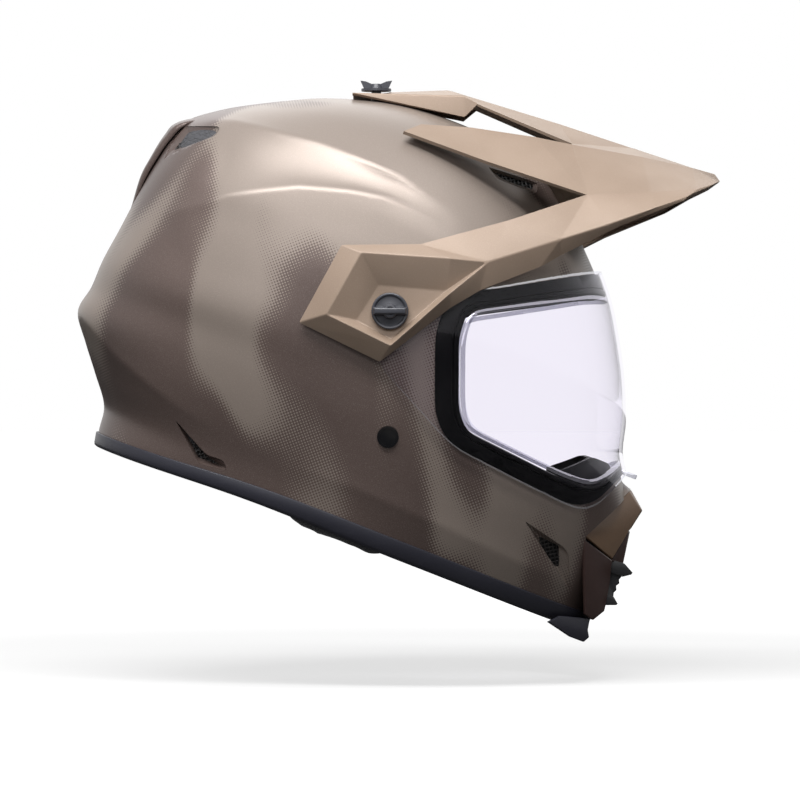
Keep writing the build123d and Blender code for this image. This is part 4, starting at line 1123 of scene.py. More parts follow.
@dataclass
class Vent:
    """A recess in the shell: painted walls that slope to a woven screen at its floor."""

    paints: Paints
    name: str
    node: str
    mouth: Pairs
    screen: Pairs
    depth: float = 6.0
    pitch: float = 2.3
    wire: float = 0.42

    def side_points(self, outline: Array, drop: float, limit: float = 24.2) -> Array:
        """Places on the skin behind a side-view outline, a drop inwards along the width."""
        y = np.maximum(FORM.at_side(outline[:, 0], outline[:, 1]), limit)
        skin = np.stack([outline[:, 0], y, outline[:, 1]], -1)
        lift = FORM.relief(skin) * (drop < 1.0)
        return skin - np.stack([np.zeros(len(y)), np.full(len(y), drop) - lift, np.zeros(len(y))], -1)

    def tray(self, side: float) -> bpy.types.Object:
        """The sloping walls: loops from the mouth to the screen, with a thin back."""
        mouth, floor = smooth_outline(self.mouth, 5, 160), smooth_outline(self.screen, 5, 160)
        start = int(np.argmin(np.linalg.norm(floor - mouth[0], axis=1)))
        floor = np.roll(floor, -start, axis=0)
        loops = [self.side_points(grown(mouth, -0.05), 0.3), self.side_points(grown(mouth, -0.25), 0.9)]
        for share in (0.35, 0.7, 1.0):
            loops.append(self.side_points(mouth + (floor - mouth) * share, 0.9 + (self.depth - 0.9) * share))
        loops.append(self.side_points(grown(floor, 0.6), self.depth + 0.9))
        loops.append(self.side_points(grown(mouth, -0.1), 3.2))
        grid = np.array(loops) * [1, side, 1]
        faces = grid_faces(*grid.shape[:2], True, True).tolist()
        return add_piece(f"{self.name}_tray", grid, faces, 40.0)

    def mesh_screen(self, side: float) -> bpy.types.Object:
        """Crossing wires clipped to the screen, each a six-sided bar along the skin's curve."""
        outline = grown(smooth_outline(self.screen, 5, 160), 0.4)
        middle, reach = outline.mean(axis=0), np.ptp(outline, axis=0).max()
        turn = np.linspace(0, 2 * math.pi, 6, endpoint=False)
        points: list[Array] = []
        faces: list[list[int]] = []
        total = 0
        for heading in (math.radians(32.0), math.radians(122.0)):
            along = np.array([math.cos(heading), math.sin(heading)])
            across = np.array([-along[1], along[0]])
            for shift in np.arange(-reach, reach, self.pitch):
                line = middle + across * shift + along * np.linspace(-reach, reach, 160)[:, None]
                within = np.flatnonzero(inside_outline(outline, line[:, 0], line[:, 1]))
                for run in np.split(within, np.flatnonzero(np.diff(within) > 1) + 1):
                    if len(run) < 3:
                        continue
                    path = self.side_points(line[run], self.depth + 0.3)
                    weave = 0.25 * np.cos(np.arange(len(run)) * math.pi * reach / 80 / self.pitch + shift)
                    path[:, 1] += weave
                    flat = np.cos(turn)[None, :, None] * self.wire * np.insert(across, 1, 0.0)
                    high = np.sin(turn)[None, :, None] * self.wire * np.array([0.0, 1.0, 0.0])
                    tube = path[:, None] + flat + high
                    tube = tube * [1, side, 1]
                    points.append(tube.reshape(-1, 3))
                    faces += [[total + k for k in face] for face in tube_faces(len(run), 6)]
                    total += len(run) * 6
        return add_piece(f"{self.name}_screen", np.vstack(points), faces, 60.0)

    def backing(self, side: float) -> bpy.types.Object:
        """A dark plate just behind the screen."""
        outline = grown(smooth_outline(self.screen, 5, 60), 0.8)
        loops = np.array([self.side_points(outline, self.depth + drop) for drop in (1.3, 1.9)]) * [1, side, 1]
        count = len(outline)
        caps = [list(range(count)), list(range(2 * count - 1, count - 1, -1))]
        return add_piece(f"{self.name}_back", loops, caps + grid_faces(2, count, False, True).tolist())

    def build(self) -> None:
        """Makes and dresses the vent on both sides."""
        for side, word in SIDES:
            tray = self.paints.dress(self.tray(side), Slot.SHELL, "helmet")
            screen = self.paints.dress(self.mesh_screen(side), Slot.MESH, "helmet", f"{self.node}_{word}")
            back = self.paints.dress(self.backing(side), Slot.BLACK, "helmet")
            for piece, part in ((tray, "tray"), (screen, "screen"), (back, "back")):
                piece.name = f"{self.name}_{part}_{word}"


@dataclass
class ChinFront:
    """The bronze cowl, its collar, the dark lower panel, the lug and the toothed mouth grille.

    Each side facet lies on a plane y = a - b x - c z, kept as (a, b, c).
    """

    paints: Paints
    cowl_plane: Triple = (262.28, 1.5342, 0.4709)
    panel_plane: Triple = (269.4, 1.473, 0.2736)
    lug_plane: Triple = (147.82144, 0.80, 0.2736)
    mouth_half: float = 27.6

    @staticmethod
    def on(plane: Triple, *places: tuple[float, float]) -> list[Triple]:
        """The corners of a plane at side-view places (x, z)."""
        return [(x, plane[0] - plane[1] * x - plane[2] * z, z) for x, z in places]

    @staticmethod
    def plate(name: str, facets: list[list[Triple]], wall: float, rounding: float) -> bpy.types.Object:
        """Mirrored facets made a wall inwards, with rounded creases.

        Args:
            name: the piece's name.
            facets: corner lists on the left side, in millimetres.
            wall: thickness in millimetres.
            rounding: width of the rounded creases in millimetres.

        Returns:
            The finished piece.
        """
        corners = np.array([corner for facet in facets for corner in facet], float)
        faces, total = [], 0
        for facet in facets:
            faces.append(list(range(total, total + len(facet))))
            total += len(facet)
        faces += [[total + k for k in reversed(face)] for face in faces]
        piece = add_piece(name, np.vstack([corners, corners * [1, -1, 1]]), faces, closed=False)
        work = bmesh.new()
        work.from_mesh(piece.data)
        bmesh.ops.remove_doubles(work, verts=work.verts, dist=1e-5)
        bmesh.ops.recalc_face_normals(work, faces=work.faces)
        front = max(work.faces, key=lambda face: face.calc_center_median().x)
        if front.normal.x < 0:
            bmesh.ops.reverse_faces(work, faces=work.faces)
        work.to_mesh(piece.data)
        work.free()
        add_modifier(piece, "SOLIDIFY", thickness=wall * MM, offset=-1.0, use_even_offset=True,
                     thickness_clamp=1.0)
        return bevel(piece, rounding, 3, 14.0, 24.0)

    def cowl(self) -> bpy.types.Object:
        """The beak: one facet each side, a flat middle and a short underside."""
        side = self.on(self.cowl_plane, (156.7, -83.1), (161.4, -74.0), (166.7, -64.2), (175.3, -49.2),
                       (186.8, -57.2), (183.8, -71.0), (179.3, -90.9))
        crest, tip, lip = side[3:6]
        middle = [crest, (176.4, 0.0, -47.6), (187.6, 0.0, -56.9), tip]
        under = [tip, (187.6, 0.0, -56.9), (184.9, 0.0, -70.0), lip]
        return self.plate("chin_cowl", [side, middle, under], 2.2, 0.7)

    def collar(self) -> bpy.types.Object:
        """The painted shoulder of the shell that rises from its form to the cowl's upper edge."""
        foot = []
        for y, z in ((61.6, -83.1), (54.0, -74.0), (44.0, -64.0), (30.0, -53.5), (16.0, -46.0), (0.0, -43.4)):
            tries = np.linspace(120.0, 186.0, 500)
            sides = FORM.at_side(tries, np.full(500, z))
            held = sides > 1.0
            foot.append((float(np.interp(-y, -sides[held], tries[held])) - 0.6, y, z))
        edge = [(156.4, 60.6, -82.9), (161.1, 49.6, -73.8), (166.4, 36.9, -64.0), (171.0, 26.4, -56.1),
                (175.0, 16.5, -48.8), (176.1, 0.0, -47.2)]
        rows = []
        for line in (foot, edge):
            half = np.array(line, float)
            whole = np.vstack([half, half[-2::-1] * [1, -1, 1]])
            rows.append(soften(resample(whole, 160, False), 5, False))
        low, high = rows
        share = np.linspace(0, 1, 14)[:, None, None]
        skin = low[None] * (1 - share) + high[None] * share
        swell = np.sin(share * math.pi) * -0.5
        out = np.array([0.75, 0.0, 0.66])
        points, faces = thick_sheet(skin + out * swell, skin - out * 2.2)
        return add_piece("chin_collar", points, faces, 30.0)

    def lower_panel(self) -> bpy.types.Object:
        """The dark panel: a facet each side with an inner return wall down to the mouth."""
        side = self.on(self.panel_plane, (157.4, -85.6), (179.3, -92.4), (182.9, -105.2), (185.3, -118.3),
                       (185.4, -122.1), (180.8, -129.7), (175.1, -127.9), (165.6, -105.5))
        top, waist, brink, toe, heel = side[1:6]
        lip = [top, (173.5, 26.4, -96.0), (176.0, 26.4, -118.0), brink, waist]
        foot = [toe, brink, (184.6, 0.0, -121.4), (181.0, 0.0, -129.4), heel]
        brow = [(183.6, 13.0, -72.4), (184.9, 0.0, -71.8), (188.0, 0.0, -91.6), (186.6, 20.5, -91.6)]
        cheek = [(183.6, 13.0, -72.4), (186.6, 20.5, -91.6), (174.0, 26.0, -96.0), top]
        return self.plate("chin_panel", [side, lip, foot, brow, cheek], 2.0, 0.6)

    def lug(self) -> bpy.types.Object:
        """The trim's raised front lug, faceted like the panel above it, its sides turned in with the rim."""
        side = self.on(self.lug_plane, (154.8, -139.4), (160.5, -133.6), (178.6, -129.6), (179.7, -136.3),
                       (182.1, -140.2), (179.8, -144.0), (171.3, -143.4))
        brink, notch, chin, toe = side[2:6]
        brow = [brink, (179.6, 0.0, -129.6), (180.4, 0.0, -136.3), notch]
        nose = [notch, (180.4, 0.0, -136.3), (182.6, 0.0, -140.2), chin]
        sole = [chin, (182.6, 0.0, -140.2), (180.3, 0.0, -144.0), toe]
        return self.plate("trim_lug", [side, brow, nose, sole], 2.4, 0.6)

    def mouth(self) -> bpy.types.Object:
        """The grille: pointed upper and lower lips, upright ribs between them and an inner body."""
        upper = np.array([(172.0, -96.5), (176.7, -91.6), (187.4, -91.2), (188.6, -91.8), (193.7, -94.5),
                          (193.3, -95.9), (188.9, -99.0), (180.0, -99.0)])
        lower = np.array([(174.0, -112.0), (188.3, -112.4), (191.9, -115.4), (191.4, -116.5), (185.7, -118.7),
                          (174.5, -119.5)])
        rib = np.array([(172.0, -97.5), (188.6, -98.5), (187.6, -101.5), (188.6, -103.5), (187.3, -105.5),
                        (188.4, -108.0), (187.4, -110.0), (188.4, -113.5), (174.0, -113.5)])
        back = np.array([(171.4, -97.0), (173.0, -97.0), (175.0, -113.0), (173.4, -113.0)])
        half = self.mouth_half
        grille = block(upper, -half, half, name="mouth_bars")
        ribs = [block(rib, y - 1.3, y + 1.3) for y in np.linspace(-24.0, 24.0, 8)]
        carve(grille, [block(lower, -half, half), *ribs, block(back, -half, half)], "UNION", 30.0)
        return bevel(grille, 0.35, 2, 30.0, 30.0)

    def build(self) -> None:
        """Makes and dresses the chin's front."""
        self.paints.dress(self.cowl(), Slot.BRONZE, "helmet", "chin_vent_cowl")
        self.paints.dress(self.collar(), Slot.SHELL, "helmet")
        self.paints.dress(self.lower_panel(), Slot.BROWN, "helmet", "chin_lower_panel")
        self.paints.dress(self.lug(), Slot.TRIM, "helmet")
        self.paints.dress(self.mouth(), Slot.BLACK, "helmet", "mouth_grille")


@dataclass
class Shield:
    """The clear shield with its ears, lift tab and inner seal, and the breath guard behind it."""

    paints: Paints
    outline: Pairs = ((0.0, 23.1), (45.5, 30.7), (112.3, 70.5), (220.0, 101.7), (220.0, -37.9),
                      (168.8, -37.9), (161.8, -47.9), (153.0, -66.4), (144.6, -71.0), (99.8, -65.9),
                      (62.0, -61.1), (41.8, -50.8), (2.6, -30.4), (0.0, 0.0))
    guard_outline: Pairs = ((141.7, -57.6), (128.1, -55.1), (147.5, -35.8), (161.5, -35.2), (168.8, -43.0),
                            (155.6, -56.8))

    def sheet(self) -> bpy.types.Object:
        """The curved sheet, cut clear of its flat ears."""
        points, faces, marks = patch_on(smooth_outline(self.outline, 9, 500), 2.3, 4.5, 100.0)
        piece = add_piece("shield_sheet", points, faces, 40.0, marks=marks)
        return carve(piece, both_blocks(disc_outline(23.9, count=96), 100.0, 140.0), sharp=40.0)

    def ear(self, side: float) -> bpy.types.Object:
        """A flat ring round the hub with a short rib behind its edge."""
        profile = np.array([(8.9, 121.3), (17.5, 121.3), (17.6, 120.4), (23.9, 120.4), (24.0, 121.0),
                            (24.0, 123.2), (23.7, 123.5), (9.1, 123.5), (8.9, 123.3)])
        return lathe("shield_ear", profile, side, 96, True, 40.0)

    def tab(self) -> bpy.types.Object:
        """The small clear lip under the front edge."""
        corners = ((163.0, -13.0), (176.0, -13.0), (177.0, 0.0), (176.0, 13.0), (163.0, 13.0))
        tab = block(smooth_outline(corners, 9, 120), -40.8, -37.9, 2, "shield_tab")
        return bevel(tab, 0.5, 2, 30.0, 30.0)

    def lens_seal(self, eyeport: Pairs) -> bpy.types.Object:
        """A pale translucent seal that follows the window just inside its edge."""
        profile = np.array([(-2.2, 0.9), (-2.2, 1.9), (-2.8, 2.1), (-4.4, 2.1), (-5.0, 1.6), (-5.0, 0.9)])
        points, faces = band_round(smooth_outline(eyeport, 9), profile)
        return add_piece("lens_seal", points, faces, 40.0)

    def guard(self) -> bpy.types.Object:
        """The soft curved guard below the window."""
        points, faces, _ = patch_on(smooth_outline(self.guard_outline, 15), -6.9, -4.4, 75.0, 150, 26)
        return add_piece("breath_guard_rubber", points, faces, 50.0)

    def build(self, eyeport: Pairs) -> None:
        """Makes and dresses the shield group."""
        names = (Slot.CLEAR.value, "clear_edge")
        self.paints.dress(self.sheet(), Slot.CLEAR, "shield", "face_shield", names=names)
        for side, word in SIDES:
            ear = self.paints.dress(self.ear(side), Slot.CLEAR, "shield")
            ear.name = f"shield_ear_{word}"
        self.paints.dress(self.tab(), Slot.CLEAR, "shield", names=("clear_edge",))
        self.paints.dress(self.lens_seal(eyeport), Slot.CLEAR, "shield", names=("clear_edge",))
        self.paints.dress(self.guard(), Slot.BLACK, "helmet", "breath_guard")


# ---------------------------------------------------------------- visor and screws
@dataclass
class Visor:
    """The peak: a centre tongue and ridge, two fins, two arms and the pods round the pivots."""

    paints: Paints
    length: float = 367.0
    height: float = 269.0
    half_width: float = 119.0
    wall: float = 2.0
    floor_plane: float = 126.1
    pod_rise: float = 7.9
    bevel_width: float = 0.9
    fine_wall: float = 0.8
    fine_bevel: float = 0.4
    # nose_side, cheek_nose and blade_edge_end make the front edge straighter than the part's
    blade: dict[str, Triple] = field(default_factory=lambda: {
        "tongue_back": (-0.1902, 0.000, 0.4442), "tongue_back_side": (-0.1902, 0.168, 0.4409),
        "ridge_start": (-0.0433, 0.000, 0.5289), "tongue_front_side": (-0.0152, 0.185, 0.5234),
        "tongue_foot": (-0.0014, 0.190, 0.4790), "ridge_side": (0.0116, 0.185, 0.5186),
        "ridge_middle": (0.1516, 0.000, 0.5473), "ridge_side_front": (0.1833, 0.202, 0.5085),
        "ridge_fore": (0.2816, 0.000, 0.5550), "crease_fore": (0.2963, 0.320, 0.5331),
        "ridge_end": (0.3842, 0.000, 0.5605), "crease_end": (0.3805, 0.252, 0.5519),
        "tip": (0.4244, 0.000, 0.5654), "nose": (0.4365, 0.000, 0.5543), "nose_side": (0.4280, 0.320, 0.5404),
        "fin_tip_top": (-0.0626, 0.521, 0.4193), "fin_tip": (-0.0840, 0.672, 0.3874),
        "fin_back_top": (0.0157, 0.504, 0.4527), "fin_middle_top": (0.1198, 0.471, 0.4846),
        "fin_root_top": (0.1820, 0.420, 0.5009), "fin_middle": (0.0625, 0.726, 0.3888),
        "fin_root": (0.2325, 0.727, 0.3981), "cheek_fore": (0.3256, 0.672, 0.4554),
        "cheek_end": (0.3956, 0.605, 0.4998), "cheek_nose": (0.4196, 0.504, 0.5265),
        "arm_top": (0.1286, 0.926, 0.2775), "arm_crease": (0.2144, 0.941, 0.2805),
        "blade_crease": (0.2783, 0.857, 0.3502), "blade_crease_fore": (0.3408, 0.782, 0.4236),
        "blade_crease_end": (0.3847, 0.706, 0.4757), "arm_edge_back": (0.1238, 1.030, 0.1139),
        "arm_edge": (0.2011, 0.942, 0.2100), "arm_edge_fore": (0.2240, 0.899, 0.2480),
        "blade_edge": (0.2991, 0.815, 0.3591), "blade_edge_fore": (0.3801, 0.723, 0.4616),
        "blade_edge_end": (0.4111, 0.538, 0.5126)})
    pod: dict[str, Triple] = field(default_factory=lambda: {
        "pod_back_top": (-0.1098, 0.0981, -0.27), "pod_back": (-0.1294, -0.0930, -0.58),
        "pod_bottom": (0.0134, -0.1109, 0.00), "pod_front": (0.0883, 0.0534, 0.00),
        "pod_top": (0.0172, 0.1591, 0.02), "crest_back_top": (-0.0760, 0.0973, 0.90),
        "crest_back": (-0.0929, -0.0557, 0.90), "crest_bottom": (0.0210, -0.0691, 1.00),
        "crest_front": (0.0796, 0.0836, 0.90), "crest_nose": (0.1188, 0.1766, -0.10),
        "crest_top": (0.0600, 0.1539, 0.85), "floor_back_top": (-0.0316, 0.0442, 0.00),
        "floor_back": (-0.0455, -0.0446, 0.00), "floor_bottom": (0.0177, -0.0569, 0.00),
        "floor_front": (0.0728, 0.0848, 0.00)})
    fine: tuple[str, ...] = ("tip", "nose", "nose_side", "cheek_nose", "blade_edge_end", "blade_edge_fore",
                             "cheek_end", "blade_crease_end")
    facets: tuple[str, ...] = (
        "tongue_back tongue_back_side tongue_front_side ridge_start",
        "tongue_back_side tongue_foot tongue_front_side", "tongue_front_side tongue_foot ridge_side",
        "ridge_start tongue_front_side ridge_side", "ridge_start ridge_side ridge_side_front ridge_middle",
        "ridge_middle ridge_side_front ridge_fore", "ridge_side_front crease_fore ridge_fore",
        "ridge_fore crease_fore crease_end ridge_end", "ridge_end crease_end tip",
        "crease_end nose_side nose tip", "ridge_side_front fin_root_top crease_fore",
        "fin_tip_top fin_tip fin_middle fin_back_top", "fin_back_top fin_middle fin_root fin_middle_top",
        "fin_middle_top fin_root fin_root_top", "fin_root_top fin_root cheek_fore crease_fore",
        "crease_fore cheek_fore cheek_end crease_end", "crease_end cheek_end cheek_nose nose_side",
        "arm_top arm_crease fin_root", "arm_crease blade_crease fin_root",
        "fin_root blade_crease blade_crease_fore cheek_fore",
        "cheek_fore blade_crease_fore blade_crease_end cheek_end", "pod_top crest_nose arm_top",
        "crest_nose arm_crease arm_top", "crest_nose arm_edge_back arm_edge arm_crease",
        "arm_crease arm_edge arm_edge_fore", "arm_crease arm_edge_fore blade_edge blade_crease",
        "blade_crease blade_edge blade_crease_fore",
        "blade_crease_fore blade_edge blade_edge_fore blade_crease_end",
        "blade_crease_end blade_edge_fore blade_edge_end",
        "blade_crease_end blade_edge_end cheek_nose cheek_end",
        "pod_back_top pod_back crest_back crest_back_top", "pod_back pod_bottom crest_bottom crest_back",
        "pod_bottom pod_front crest_front crest_bottom", "pod_front arm_edge_back crest_nose crest_front",
        "pod_top pod_back_top crest_back_top crest_top", "pod_top crest_top crest_nose",
        "crest_back_top crest_back floor_back floor_back_top",
        "crest_back crest_bottom floor_bottom floor_back",
        "crest_bottom crest_front floor_front floor_bottom",
        "crest_top crest_back_top floor_back_top floor_front", "crest_nose crest_top floor_front",
        "crest_front crest_nose floor_front", "floor_back_top floor_back floor_bottom floor_front")

    def corners(self) -> dict[str, Array]:
        """Every named corner in millimetres on the left side."""
        places = {name: np.array([x * self.length, y * self.half_width, z * self.height])
                  for name, (x, y, z) in self.blade.items()}
        places.update({name: np.array([x * self.length, self.floor_plane + self.pod_rise * rise,
                                       z * self.height])
                       for name, (x, z, rise) in self.pod.items()})
        return places

    def body(self) -> bpy.types.Object:
        """Facets on both sides, made a wall inwards, with rounded creases and the screws' holes."""
        places = self.corners()
        names = list(places)
        number = {name: k for k, name in enumerate(names)}
        left = np.array([places[name] for name in names])
        right = left * [1, -1, 1]
        both = np.vstack([left, right])
        count = len(names)
        middle = {k for k in range(count) if left[k, 1] == 0.0}
        half = [[number[name] for name in facet.split()][::-1] for facet in self.facets]
        faces = half + [[k if k in middle else k + count for k in reversed(face)] for face in half]
        lean = np.zeros_like(both)
        for face in faces:
            for first, last in zip(face[1:], face[2:]):
                fan = [face[0], first, last]
                out = np.cross(both[first] - both[face[0]], both[last] - both[face[0]])
                lean[fan] += out / np.linalg.norm(out)
        wall = np.full((2 * count, 1), self.wall)
        for name in self.fine:
            wall[[number[name], number[name] + count]] = self.wall * self.fine_wall
        inner = both - wall * lean / np.maximum(np.linalg.norm(lean, axis=1, keepdims=True), 1e-9)
        for name in names:
            if name.startswith("floor"):
                inner[number[name], 1] = self.floor_plane - self.wall
                inner[number[name] + count, 1] = self.wall - self.floor_plane
                inner[[number[name], number[name] + count], 0] = places[name][0]
                inner[[number[name], number[name] + count], 2] = places[name][2]
        total = 2 * count
        sides = {(a, b) for face in faces for a, b in zip(face, face[1:] + face[:1])}
        rims = [[b, a, a + total, b + total] for a, b in sides if (b, a) not in sides]
        walls = faces + [[k + total for k in reversed(face)] for face in faces] + rims
        used = sorted({k for face in walls for k in face})
        order = {k: j for j, k in enumerate(used)}
        piece = add_piece("visor_peak", np.vstack([both, inner])[used],
                          [[order[k] for k in face] for face in walls])
        pairs = np.empty(len(piece.data.edges) * 2, np.int32)
        piece.data.edges.foreach_get("vertices", pairs)
        shares = {(order[a], order[b]) for a, b in sides if (b, a) in sides}
        thin = {order[number[name] + step] for name in self.fine for step in (0, count)
                if number[name] + step in order}
        weight = np.array([((a, b) in shares) * (self.fine_bevel if a in thin or b in thin else 1.0)
                           for a, b in pairs.reshape(-1, 2).tolist()])
        layer = piece.data.attributes.new("bevel_weight_edge", "FLOAT", "EDGE")
        layer.data.foreach_set("value", weight)
        add_modifier(piece, "BEVEL", width=self.bevel_width * MM, segments=3, limit_method="WEIGHT")
        bake(piece)
        return carve(piece, self.cutters(), sharp=26.0)

    @staticmethod
    def cutters() -> list[bpy.types.Object]:
        """The side screws' holes, and the top screw's slot, the hull of a disc at each of its ends."""
        slot = np.vstack([disc_outline(3.5, (TOP_SCREW_X + shift, 0.0)) for shift in (-4.8, 4.8)])
        hull = slot[[int(np.argmax(slot @ [math.cos(a), math.sin(a)])) for a in np.linspace(0, 6.2, 60)]]
        hull = hull[np.sort(np.unique(np.round(hull, 4), axis=0, return_index=True)[1])]
        return both_blocks(disc_outline(3.4), 100.0, 150.0) + [block(hull, 120.0, 160.0, 2, worn=True)]

    def build(self) -> None:
        """Makes and dresses the visor."""
        self.paints.dress(self.body(), Slot.VISOR, "visor", "visor")


@dataclass
class Screws:
    """The two side screws: a rimmed disc with a ridge across it and a small hub."""

    paints: Paints
    plane: float = 126.5
    radius: float = 10.8

    def side_screw(self, side: float) -> bpy.types.Object:
        """A turned head and shank with the bevelled ridge joined on."""
        r = self.radius
        profile = np.array([(0.0, -14.0), (2.6, -14.0), (3.0, -13.5), (3.0, 0.0), (r - 0.5, 0.0), (r, 0.5),
                            (r, 2.3), (r - 0.3, 2.8), (r - 0.8, 3.0), (r - 1.5, 2.9), (r - 1.9, 2.3),
                            (r - 2.2, 2.1), (4.4, 2.1), (4.2, 4.9), (3.8, 5.4), (2.6, 5.7), (2.2, 5.1),
                            (0.0, 5.0)])
        knob = lathe("side_screw", profile + [0.0, self.plane], side, 72, False, 30.0)
        ridge = []
        for depth, inset, w in ((1.0, 0.9, 2.3), (4.6, 1.1, 2.2), (6.1, 1.6, 1.7), (6.6, 2.4, 1.1)):
            half = r - inset
            ridge.append([(-half, depth, -w), (half, depth, -w), (half, depth, w), (-half, depth, w)])
        loops = np.array(ridge)
        points = from_worn(loops) * [1, side, 1] + [0.0, side * self.plane, 0.0]
        carve(knob, [add_piece("bar", points, tube_faces(4, 4), 20.0)], "UNION", 28.0)
        return bevel(knob, 0.25, 2, 35.0, 28.0)

    def build(self) -> None:
        """Makes and dresses both screws."""
        for side, word in SIDES:
            screw = self.paints.dress(self.side_screw(side), Slot.KNOB, f"screw_{word}",
                                      f"visor_screw_{word}")
            screw.name = f"side_screw_{word}"


# ---------------------------------------------------------------- light, floor and camera
@dataclass
class Stage:
    """The pale floor, the soft lamps and the camera at the photograph's angle."""

    white: tuple[float, ...] = (1.0, 1.0, 1.0, 1.0)
    floor_level: float = -0.224
    lens: float = 190.2

    def floor(self) -> None:
        """A floor that is white to the camera and keeps a soft shadow near the object."""
        bpy.ops.mesh.primitive_plane_add(size=40.0)
        plane = bpy.context.object
        plane.name = "floor"
        plane.data.transform(Matrix.Translation((0.0, 0.0, self.floor_level)))
        book = NodeBook("floor_white")
        along, across, _ = book.axes(book.place())
        reach = ((along * along) + (across * across)) ** 0.5
        far = reach.step(0.45, 0.9)
        matt = book.node("ShaderNodeBsdfDiffuse", {}, {"Color": (0.25, 0.25, 0.25, 1.0)})
        grey = book.node("ShaderNodeBsdfDiffuse", {}, {"Color": (0.12, 0.12, 0.12, 1.0)})
        glow = book.node("ShaderNodeEmission", {},
                         {"Color": self.white, "Strength": far * 0.30 + 0.70})
        mixed = book.node("ShaderNodeAddShader", {}, {0: glow, 1: matt})
        path = book.node("ShaderNodeLightPath", {}, {}, "Is Camera Ray")
        plane.data.materials.append(book.finish(
            book.node("ShaderNodeMixShader", {}, {0: path, 1: grey, 2: mixed})))

    def world(self) -> None:
        """A world that is white to see and dim as a light."""
        world = bpy.data.worlds.new("studio")
        bpy.context.scene.world = world
        book = NodeBook("studio", world)
        seen = [book.node("ShaderNodeLightPath", {}, {}, f"Is {kind} Ray")
                for kind in ("Camera", "Transmission", "Glossy")]
        dim, bright = (book.node("ShaderNodeBackground", {}, {"Color": self.white, "Strength": level})
                       for level in (0.06, 1.0))
        share = seen[0].most(seen[1]).most(seen[2])
        mixed = book.node("ShaderNodeMixShader", {}, {0: share, 1: dim, 2: bright})
        book.node("ShaderNodeOutputWorld", {}, {"Surface": mixed})

    @staticmethod
    def lamp(name: str, place: Triple, aim: Triple, size: tuple[float, float], power: float) -> None:
        """An area lamp at a place, facing its aim."""
        data = bpy.data.lights.new(name, "AREA")
        data.shape = "RECTANGLE"
        data.size, data.size_y = size
        data.energy = power
        lamp = bpy.data.objects.new(name, data)
        bpy.context.scene.collection.objects.link(lamp)
        lamp.location = place
        facing = (np.array(aim) - np.array(place)).tolist()
        lamp.rotation_euler = Vector(facing).to_track_quat("-Z", "Y").to_euler()

    def build(self) -> None:
        """Makes the floor, the world, the lamps and the camera."""
        self.floor()
        self.world()
        self.lamp("overhead", (-0.05, -0.44, 1.25), (-0.04, 0.0, 0.03), (1.3, 0.36), 12.0)
        self.lamp("key", (-0.20, -0.80, 1.12), (-0.03, 0.0, 0.03), (1.5, 0.26), 26.0)
        self.lamp("side", (-0.15, -1.30, 0.50), (-0.03, 0.0, 0.02), (1.2, 0.30), 5.0)
        self.lamp("rear", (-0.2, 1.3, 1.0), (0.0, 0.0, 0.0), (1.4, 0.8), 4.5)
        data = bpy.data.cameras.new("camera")
        data.lens = self.lens
        data.sensor_width = 36.0
        data.clip_end = 60.0
        camera = bpy.data.objects.new("camera", data)
        bpy.context.scene.collection.objects.link(camera)
        camera.location = (0.0059, -2.6, -0.052)
        camera.rotation_euler = (math.radians(90.0), 0.0, 0.0)
        bpy.context.scene.camera = camera
        bpy.context.scene.view_settings.view_transform = "Standard"


# ---------------------------------------------------------------- the whole helmet
VENTS: dict[str, tuple[str, Pairs, Pairs, float]] = {
    "rear_upper": ("upper_rear_vent", ((-158.2, 62.7), (-136.6, 69.0), (-135.1, 67.6), (-136.7, 61.8),
                                       (-150.0, 51.3), (-160.4, 41.5), (-162.2, 38.6), (-162.0, 51.8)),
                   ((-153.1, 59.4), (-137.6, 63.6), (-150.0, 52.3), (-158.5, 46.8)), 6.0),
    "rear_lower": ("lower_rear_vent", ((-97.0, -104.8), (-74.3, -124.1), (-56.9, -121.9), (-60.9, -117.0),
                                       (-72.0, -117.5), (-87.0, -110.0)),
                   ((-87.9, -110.0), (-76.0, -121.0), (-62.5, -120.4), (-72.0, -118.3)), 5.0),
    "chin_side": ("chin_side_vent", ((118.5, -87.3), (147.3, -94.1), (151.3, -97.0), (160.8, -117.9)),
                  ((130.7, -93.1), (143.9, -94.4), (148.8, -106.3), (146.3, -106.6), (133.7, -100.9)), 5.0),
    "brow": ("brow_vent", ((23.7, 103.1), (55.8, 106.2), (56.9, 99.5), (45.3, 98.4), (31.9, 98.2)),
             ((29.0, 101.6), (53.0, 104.4), (53.8, 101.0), (44.0, 99.8), (33.0, 99.6)), 3.5)}


# ---------------------------------------------------------------- inside of the helmet
def copy_node(name: str, node: str, frame: dict, weld: float = 2e-5) -> bpy.types.Object:
    """A welded copy of a CAD node's mesh, under a new name."""
    mesh = frame["nodes"][node].data.copy()
    mesh.name = name
    piece = bpy.data.objects.new(name, mesh)
    bpy.context.scene.collection.objects.link(piece)
    work = bmesh.new()
    work.from_mesh(mesh)
    bmesh.ops.remove_doubles(work, verts=work.verts, dist=weld)
    work.to_mesh(mesh)
    work.free()
    return piece


def places_of(mesh: bpy.types.Mesh) -> Array:
    """A mesh's points in metres, one row each."""
    flat = np.empty(len(mesh.vertices) * 3)
    mesh.vertices.foreach_get("co", flat)
    return flat.reshape(-1, 3)


